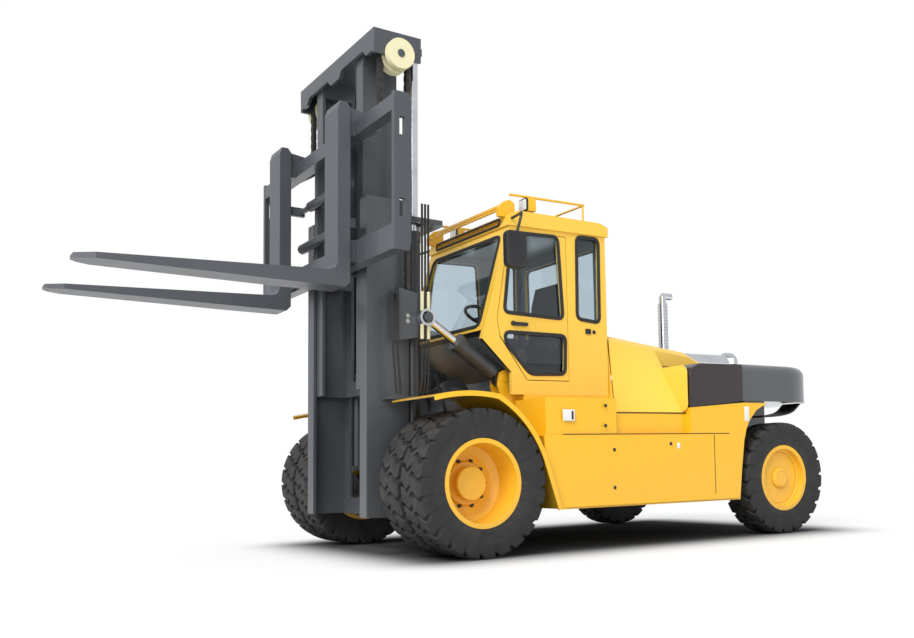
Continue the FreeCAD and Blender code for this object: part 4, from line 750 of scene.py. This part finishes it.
# %% Seals round the panes
UPPER = [(0.642, 2.752), (1.140, 2.760), (1.178, 2.030), (0.548, 2.055)]
LOWER = [(0.552, 1.884), (1.200, 1.878), (1.186, 1.536), (0.802, 1.527), (0.552, 1.790)]
REAR_SIDE = [(1.355, 2.785), (1.606, 2.785), (1.595, 2.018), (1.340, 2.040)]
SEAL = rounded(0.017, 0.007, 0.006, 3)


def side_seal(corners, x):
    path = bent([(x, y, z) for y, z in corners], 0.055, closed=True)
    return tube(path, closed=True, section=SEAL, ref=(1, 0, 0))


SLOPE = (0.618 - 0.313) / (2.810 - 1.818)


def on_front(x, z, out=0.0):
    """A point on the cab's sloping front: y = knee + (z - knee height) * slope."""
    return (x, 0.313 + (z - 1.818) * SLOPE - out, z + out * SLOPE)


piece("door_seals", "door", RUBBER, [side_seal(UPPER, 0.952), side_seal(LOWER, 0.952)])
seals = [side_seal(REAR_SIDE, 0.952)] + [side_seal(w, -0.402) for w in (UPPER, LOWER, REAR_SIDE)]
pane = [on_front(x, z, 0.002) for x, z in ((-0.305, 1.935), (0.855, 1.935), (0.855, 2.735), (-0.305, 2.735))]
seals.append(tube(bent(pane, 0.07, closed=True), closed=True, section=SEAL, ref=(0, -1, SLOPE)))
back = [(x, 1.687, z) for x, z in ((-0.275, 2.010), (0.825, 2.010), (0.825, 2.720), (-0.275, 2.720))]
seals.append(tube(bent(back, 0.07, closed=True), closed=True, section=SEAL, ref=(0, 1, 0)))
slot_rim = [
    (x, 0.603 + (z - 2.862) * 0.1, z)
    for x, z in ((-0.270, 2.834), (0.830, 2.834), (0.830, 2.888), (-0.270, 2.888))
]
seals.append(
    tube(
        bent(slot_rim, 0.024, closed=True), closed=True, section=rounded(0.010, 0.006, 0.005, 3),
        ref=(0, -1, 0),
    )
)
piece("cab_seals", "chassis", RUBBER, seals)

# %% [markdown]
# ## Cab and side fittings
# Small fittings tell the eye how large the truck is: rounded mirrors, lamps, a door handle, seams, screws
# and blank plates. Each is a rounded slab or a turned part that sits a few millimetres proud of the panel.

# %% Mirrors, lamps, plates and seams
def pole(points, radius=0.012):
    return tube(flow(points, 4), radius, 10, ref=(0.3, 1, 0.2))


mirror_case = slab((1.252, 0.467, 2.525), (0.105, 0.155, 0.036), 0.045, 0.02, "X")
arm = pole([(0.97, 0.64, 2.87), (1.10, 0.62, 2.87), (1.225, 0.56, 2.84), (1.23, 0.50, 2.66)])
shapes = [mirror_case, arm] + [
    (part[0] * [-1, 1, 1] + [0.55, 0, 0], [g[:, ::-1] for g in part[1]])
    for part in (mirror_case, arm)
]
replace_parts(piece("round_mirrors", "chassis", BLACK, shapes), "mirrors")
for x, tag in ((0.87, "left"), (-0.32, "right")):
    piece(
        f"lamp_bezel_{tag}", "chassis", BLACK,
        [slab((x, 0.838, 3.027), (0.064, 0.060, 0.008), 0.02, 0.005, "Y")],
    )
    piece(
        f"lamp_lens_{tag}", "chassis", LENS,
        [slab((x, 0.830, 3.027), (0.052, 0.048, 0.008), 0.014, 0.006, "Y")],
    )
piece(
    "door_handle", "door", BLACK,
    [
        slab((0.962, 0.70, 1.957), (0.085, 0.016, 0.012), 0.014, 0.006),
        slab((0.955, 0.635, 1.962), (0.022, 0.022, 0.008), 0.02, 0.004),
    ],
)
piece(
    "cab_latch", "chassis", BLACK,
    [
        slab((0.954, 1.46, 1.93), (0.030, 0.024, 0.006), 0.004, 0.003),
        round_head((0.95, 1.53, 1.928), 0.014, 0.012, "X", 14),
    ],
)


def flat(y, z, half_y, half_z, x=1.400, t=0.003):
    """A thin plate on the truck's left side, whose panel lies at x."""
    return slab((x, y, z), (half_y, half_z, t), 0.004, 0.0015)


piece(
    "blank_plates", "chassis", PLATE,
    [
        flat(0.865, 1.143, 0.062, 0.048), flat(2.10, 0.874, 0.017, 0.026),
        flat(2.99, 1.165, 0.030, 0.070, 1.401),
    ],
)
# Painted shade: a thin black plate stands for the dark inside of a recess beside the blank plate.
piece("plate_recess_shade", "chassis", BLACK, [flat(0.902, 1.143, 0.010, 0.036, 1.4025)])
seams = [
    flat(1.36, 0.983, 0.56, 0.0035), flat(2.33, 0.983, 0.42, 0.0035), flat(2.55, 0.70, 0.003, 0.275),
    flat(1.84, 1.172, 0.42, 0.006, 1.341),
]
piece("panel_seams", "chassis", SEAM, seams)
piece("skirt_lip", "chassis", BODY, [slab((1.401, 1.83, 0.385), (1.02, 0.016, 0.008), 0.006, 0.004)])
screws = [
    round_head((1.400, y, z), 0.013, 0.008, "X", 6)
    for y, z in ((1.263, 1.227), (1.258, 1.056), (1.348, 0.848), (1.342, 0.523), (2.006, 0.893))
]
piece("panel_screws", "chassis", BLACK, screws)

# %% [markdown]
# ## Mast hoses and sleeves
# On each side three hoses run down behind the mast rail, two of them through pale sleeves beside the tilt
# bracket, and two more loop past it. They are taken as clamped, so they are fixed trim of the outer mast.

# %% Hoses, sleeves and bolts
hoses = []
for x, y in ((0.772, -0.200), (0.772, -0.170), (0.772, -0.140)):
    hoses.append(
        tube(flow([(x - 0.03, y, 1.36), (x, y, 1.55), (x, y, 2.3), (x, y, 2.95)], 5), 0.010, 8, ref=(1, 0, 0))
    )
for drop in (0.0, 0.04):
    loop = [
        (0.70, -0.44, 2.10), (0.775, -0.48 + drop, 2.15), (0.778, -0.48 + drop, 1.80),
        (0.772, -0.46 + drop, 1.55), (0.77, -0.44 + drop, 1.34),
    ]
    hoses.append(tube(flow(loop, 6), 0.011, 8, ref=(1, 0, 0)))
piece("mast_hoses", "mast", RUBBER, [q for part in hoses for q in both(part)], mast)
sleeves = [
    lathe([(-0.2, 0.006), (-0.2, 0.016), (0.2, 0.016), (0.2, 0.006)], (0.772, y, 2.01), "Z", 12)
    for y in (-0.200, -0.140)
]
piece("hose_sleeves", "mast", CREAM, [q for part in sleeves for q in both(part)], mast)
heads = [round_head((0.741, -0.32, z), 0.016, 0.014) for z in (1.955, 2.000)]
piece("bracket_bolts", "mast", ZINC, [q for part in heads for q in both(part)], mast)

# %% [markdown]
# ## Rear fairings and the space behind the mast
# A yellow fairing closes the step between each hood and its cheek, and rides with the hood. A dark gear
# housing fills the space between mast and cab, and the exhaust stack's rows of small holes are black beads
# of painted shade.

# %% Fairings, housing, mud bracket and the stack holes' painted shade
fairing = slab((1.174, 2.247, 1.398), (0.208, 0.215, 0.008), 0.070, 0.006, "Y", steps=8)
piece("hood_fairing_left", "hood_left", HOOD, [fairing], slot="body_yellow")
piece("hood_fairing_right", "hood_right", HOOD, [both(fairing)[1]], slot="body_yellow")
gears = [
    slab((0.05, 0.31, 1.24), (0.46, 0.20, 0.13), 0.06, 0.03, "Y"),
    lathe(
        [(-0.16, 0.05), (-0.15, 0.13), (-0.02, 0.17), (0.10, 0.17), (0.12, 0.12), (0.16, 0.10)],
        (0.34, 0.34, 1.34), "X", 32,
    ),
    slab((-0.05, 0.33, 1.50), (0.22, 0.10, 0.10), 0.04, 0.02, "Y"),
]
piece("gear_housing", "chassis", HOUSING, gears)
pipes = [
    pole(
        [(x, 0.22, 1.62 - 0.2 * x), (x + 0.12, 0.16, 1.50), (x + 0.20, 0.17, 1.30), (x + 0.14, 0.24, 1.12)],
        0.014,
    )
    for x in (-0.20, 0.05, 0.32)
]
piece("valve_hoses", "chassis", RUBBER, pipes)
bracket = flow([(1.20, 3.32, 1.15), (1.20, 3.55, 1.16), (1.20, 3.74, 1.195), (1.20, 3.86, 1.275)], 6)
mud = tube(bracket, section=rounded(0.010, 0.11, 0.008, 3), ref=(1, 0, 0))
piece("mud_brackets", "chassis", BLACK, both(mud))
# Painted shade: each hole of the stack is a small black bead on its surface.
hole_shades = []
for row in range(15):
    for turn_at in np.linspace(0, 2 * math.pi, 12, endpoint=False) + row % 2 * math.pi / 12:
        spot = (0.0495 * math.cos(turn_at), 3.285 + 0.0495 * math.sin(turn_at), 1.90 + 0.036 * row)
        hole_shades.append(lathe([(-0.006, 0.001), (0, 0.0065), (0.006, 0.001)], spot, "Z", 6))
piece("stack_hole_shades", "chassis", BLACK, hole_shades, smooth=60)

# %% [markdown]
# ## Floor and light
# The truck stands on white, with only a soft grey shadow. The floor is a pale surface that turns partly into
# plain white where the camera sees it, so the cast shadow stays but its edge of the world doesn't. Round the
# truck's footprint a painted shadow darkens the floor's colour and fades out the white.

# %% Stage
ground = bpy.data.meshes.new("ground")
ground.from_pydata([(-60, -60, 0), (60, -60, 0), (60, 60, 0), (-60, 60, 0)], [], [(0, 1, 2, 3)])
floor = bpy.data.objects.new("floor", ground)
bpy.context.scene.collection.objects.link(floor)
pale = Finish("white floor with painted shadow")
# Painted shadow: near is 1 on the truck's footprint and falls to 0 about 0.95 m outside it; it darkens the floor's
# colour towards 0.10 and takes away the camera's white.
beside = pale.maths("MAXIMUM", pale.maths("ABSOLUTE", pale.axis(0) - 0.05) - 1.15, 0.0)
along = pale.maths("MAXIMUM", pale.maths("ABSOLUTE", pale.axis(1) - 1.15) - 2.15, 0.0)
away = pale.maths("SQRT", beside * beside + along * along)
near = 1 - pale.node("MapRange", {"interpolation_type": "SMOOTHSTEP"}, {"Value": away, "From Max": 0.95})
lit = pale.node("BsdfDiffuse", sockets={"Color": pale.mix(near, (0.86, 0.86, 0.86), (0.10, 0.10, 0.10))})
white = pale.node("Emission", sockets={"Color": (1, 1, 1), "Strength": 1.0})
seen = pale.node("LightPath", output=0)
pale.plug(
    pale.out.inputs["Surface"],
    pale.node("MixShader", sockets={0: seen * 0.62 * (1 - near), 1: lit, 2: white}),
)
ground.materials.append(pale.material)

world = bpy.data.worlds.new("studio")
bpy.context.scene.world = world
world.use_nodes = True
tree = world.node_tree
tree.nodes.clear()
path = tree.nodes.new("ShaderNodeLightPath")
sky, plain = tree.nodes.new("ShaderNodeBackground"), tree.nodes.new("ShaderNodeBackground")
sky.inputs["Color"].default_value, sky.inputs["Strength"].default_value = (0.93, 0.96, 1.0, 1), 0.75
plain.inputs["Color"].default_value, plain.inputs["Strength"].default_value = (1, 1, 1, 1), 1.0
choose, out = tree.nodes.new("ShaderNodeMixShader"), tree.nodes.new("ShaderNodeOutputWorld")
tree.links.new(path.outputs["Is Camera Ray"], choose.inputs[0])
tree.links.new(sky.outputs[0], choose.inputs[1])
tree.links.new(plain.outputs[0], choose.inputs[2])
tree.links.new(choose.outputs[0], out.inputs[0])


def lamp(name, kind, energy, place, aim, **settings):
    data = bpy.data.lights.new(name, kind)
    data.energy = energy
    for key, value in settings.items():
        setattr(data, key, value)
    made = bpy.data.objects.new(name, data)
    made.matrix_world = look_at(place, aim)
    bpy.context.scene.collection.objects.link(made)


def look_at(place, aim):
    """A matrix whose -Z points from place to aim."""
    forward = np.asarray(aim, float) - np.asarray(place, float)
    forward /= np.linalg.norm(forward)
    right = np.cross(forward, (0, 0, 1))
    right /= np.linalg.norm(right)
    up = np.cross(right, forward)
    made = Matrix.Identity(4)
    for row in range(3):
        made[row][0], made[row][1], made[row][2], made[row][3] = right[row], up[row], -forward[row], place[
            row
        ]
    return made


lamp("sun", "SUN", 2.3, (5, -8, 10.5), (0, 0.5, 1), angle=0.5, color=(1, 0.985, 0.96))
lamp("front fill", "AREA", 260, (9, -8, 5), (0, 0, 2), size=6, color=(0.95, 0.97, 1))

# %% [markdown]
# ## Camera
# The camera was solved from points of the truck that show in the photograph: a focal length of 967 pixels
# on a picture 914 wide, standing low beside the front corner, with the picture shifted upwards.

# %% Camera
YAW, PITCH, ROLL = (math.radians(a) for a in (31.313, 1.133, 1.439))
forward = np.array([-math.cos(YAW) * math.cos(PITCH), math.sin(YAW) * math.cos(PITCH), math.sin(PITCH)])
right = np.array([math.sin(YAW), math.cos(YAW), 0])
up = np.cross(right, forward)
turned_right = math.cos(ROLL) * right - math.sin(ROLL) * up
turned_up = math.sin(ROLL) * right + math.cos(ROLL) * up
camera = bpy.data.objects.new("camera", bpy.data.cameras.new("camera"))
camera.data.sensor_width, camera.data.lens = 36, 966.63 / 914 * 36
camera.data.shift_y = 126.55 / 914
camera.data.clip_end = 300
pose = Matrix.Identity(4)
for row, place in enumerate((7.797, -4.826, 0.753)):
    pose[row][0], pose[row][1], pose[row][2], pose[row][3] = turned_right[row], turned_up[row], -forward[row], place
camera.matrix_world = pose
bpy.context.scene.collection.objects.link(camera)
bpy.context.scene.camera = camera
bpy.context.scene.view_settings.view_transform = "Standard"

# %% [markdown]
# ## Finish

# %% Finish
bpy.context.view_layer.update()
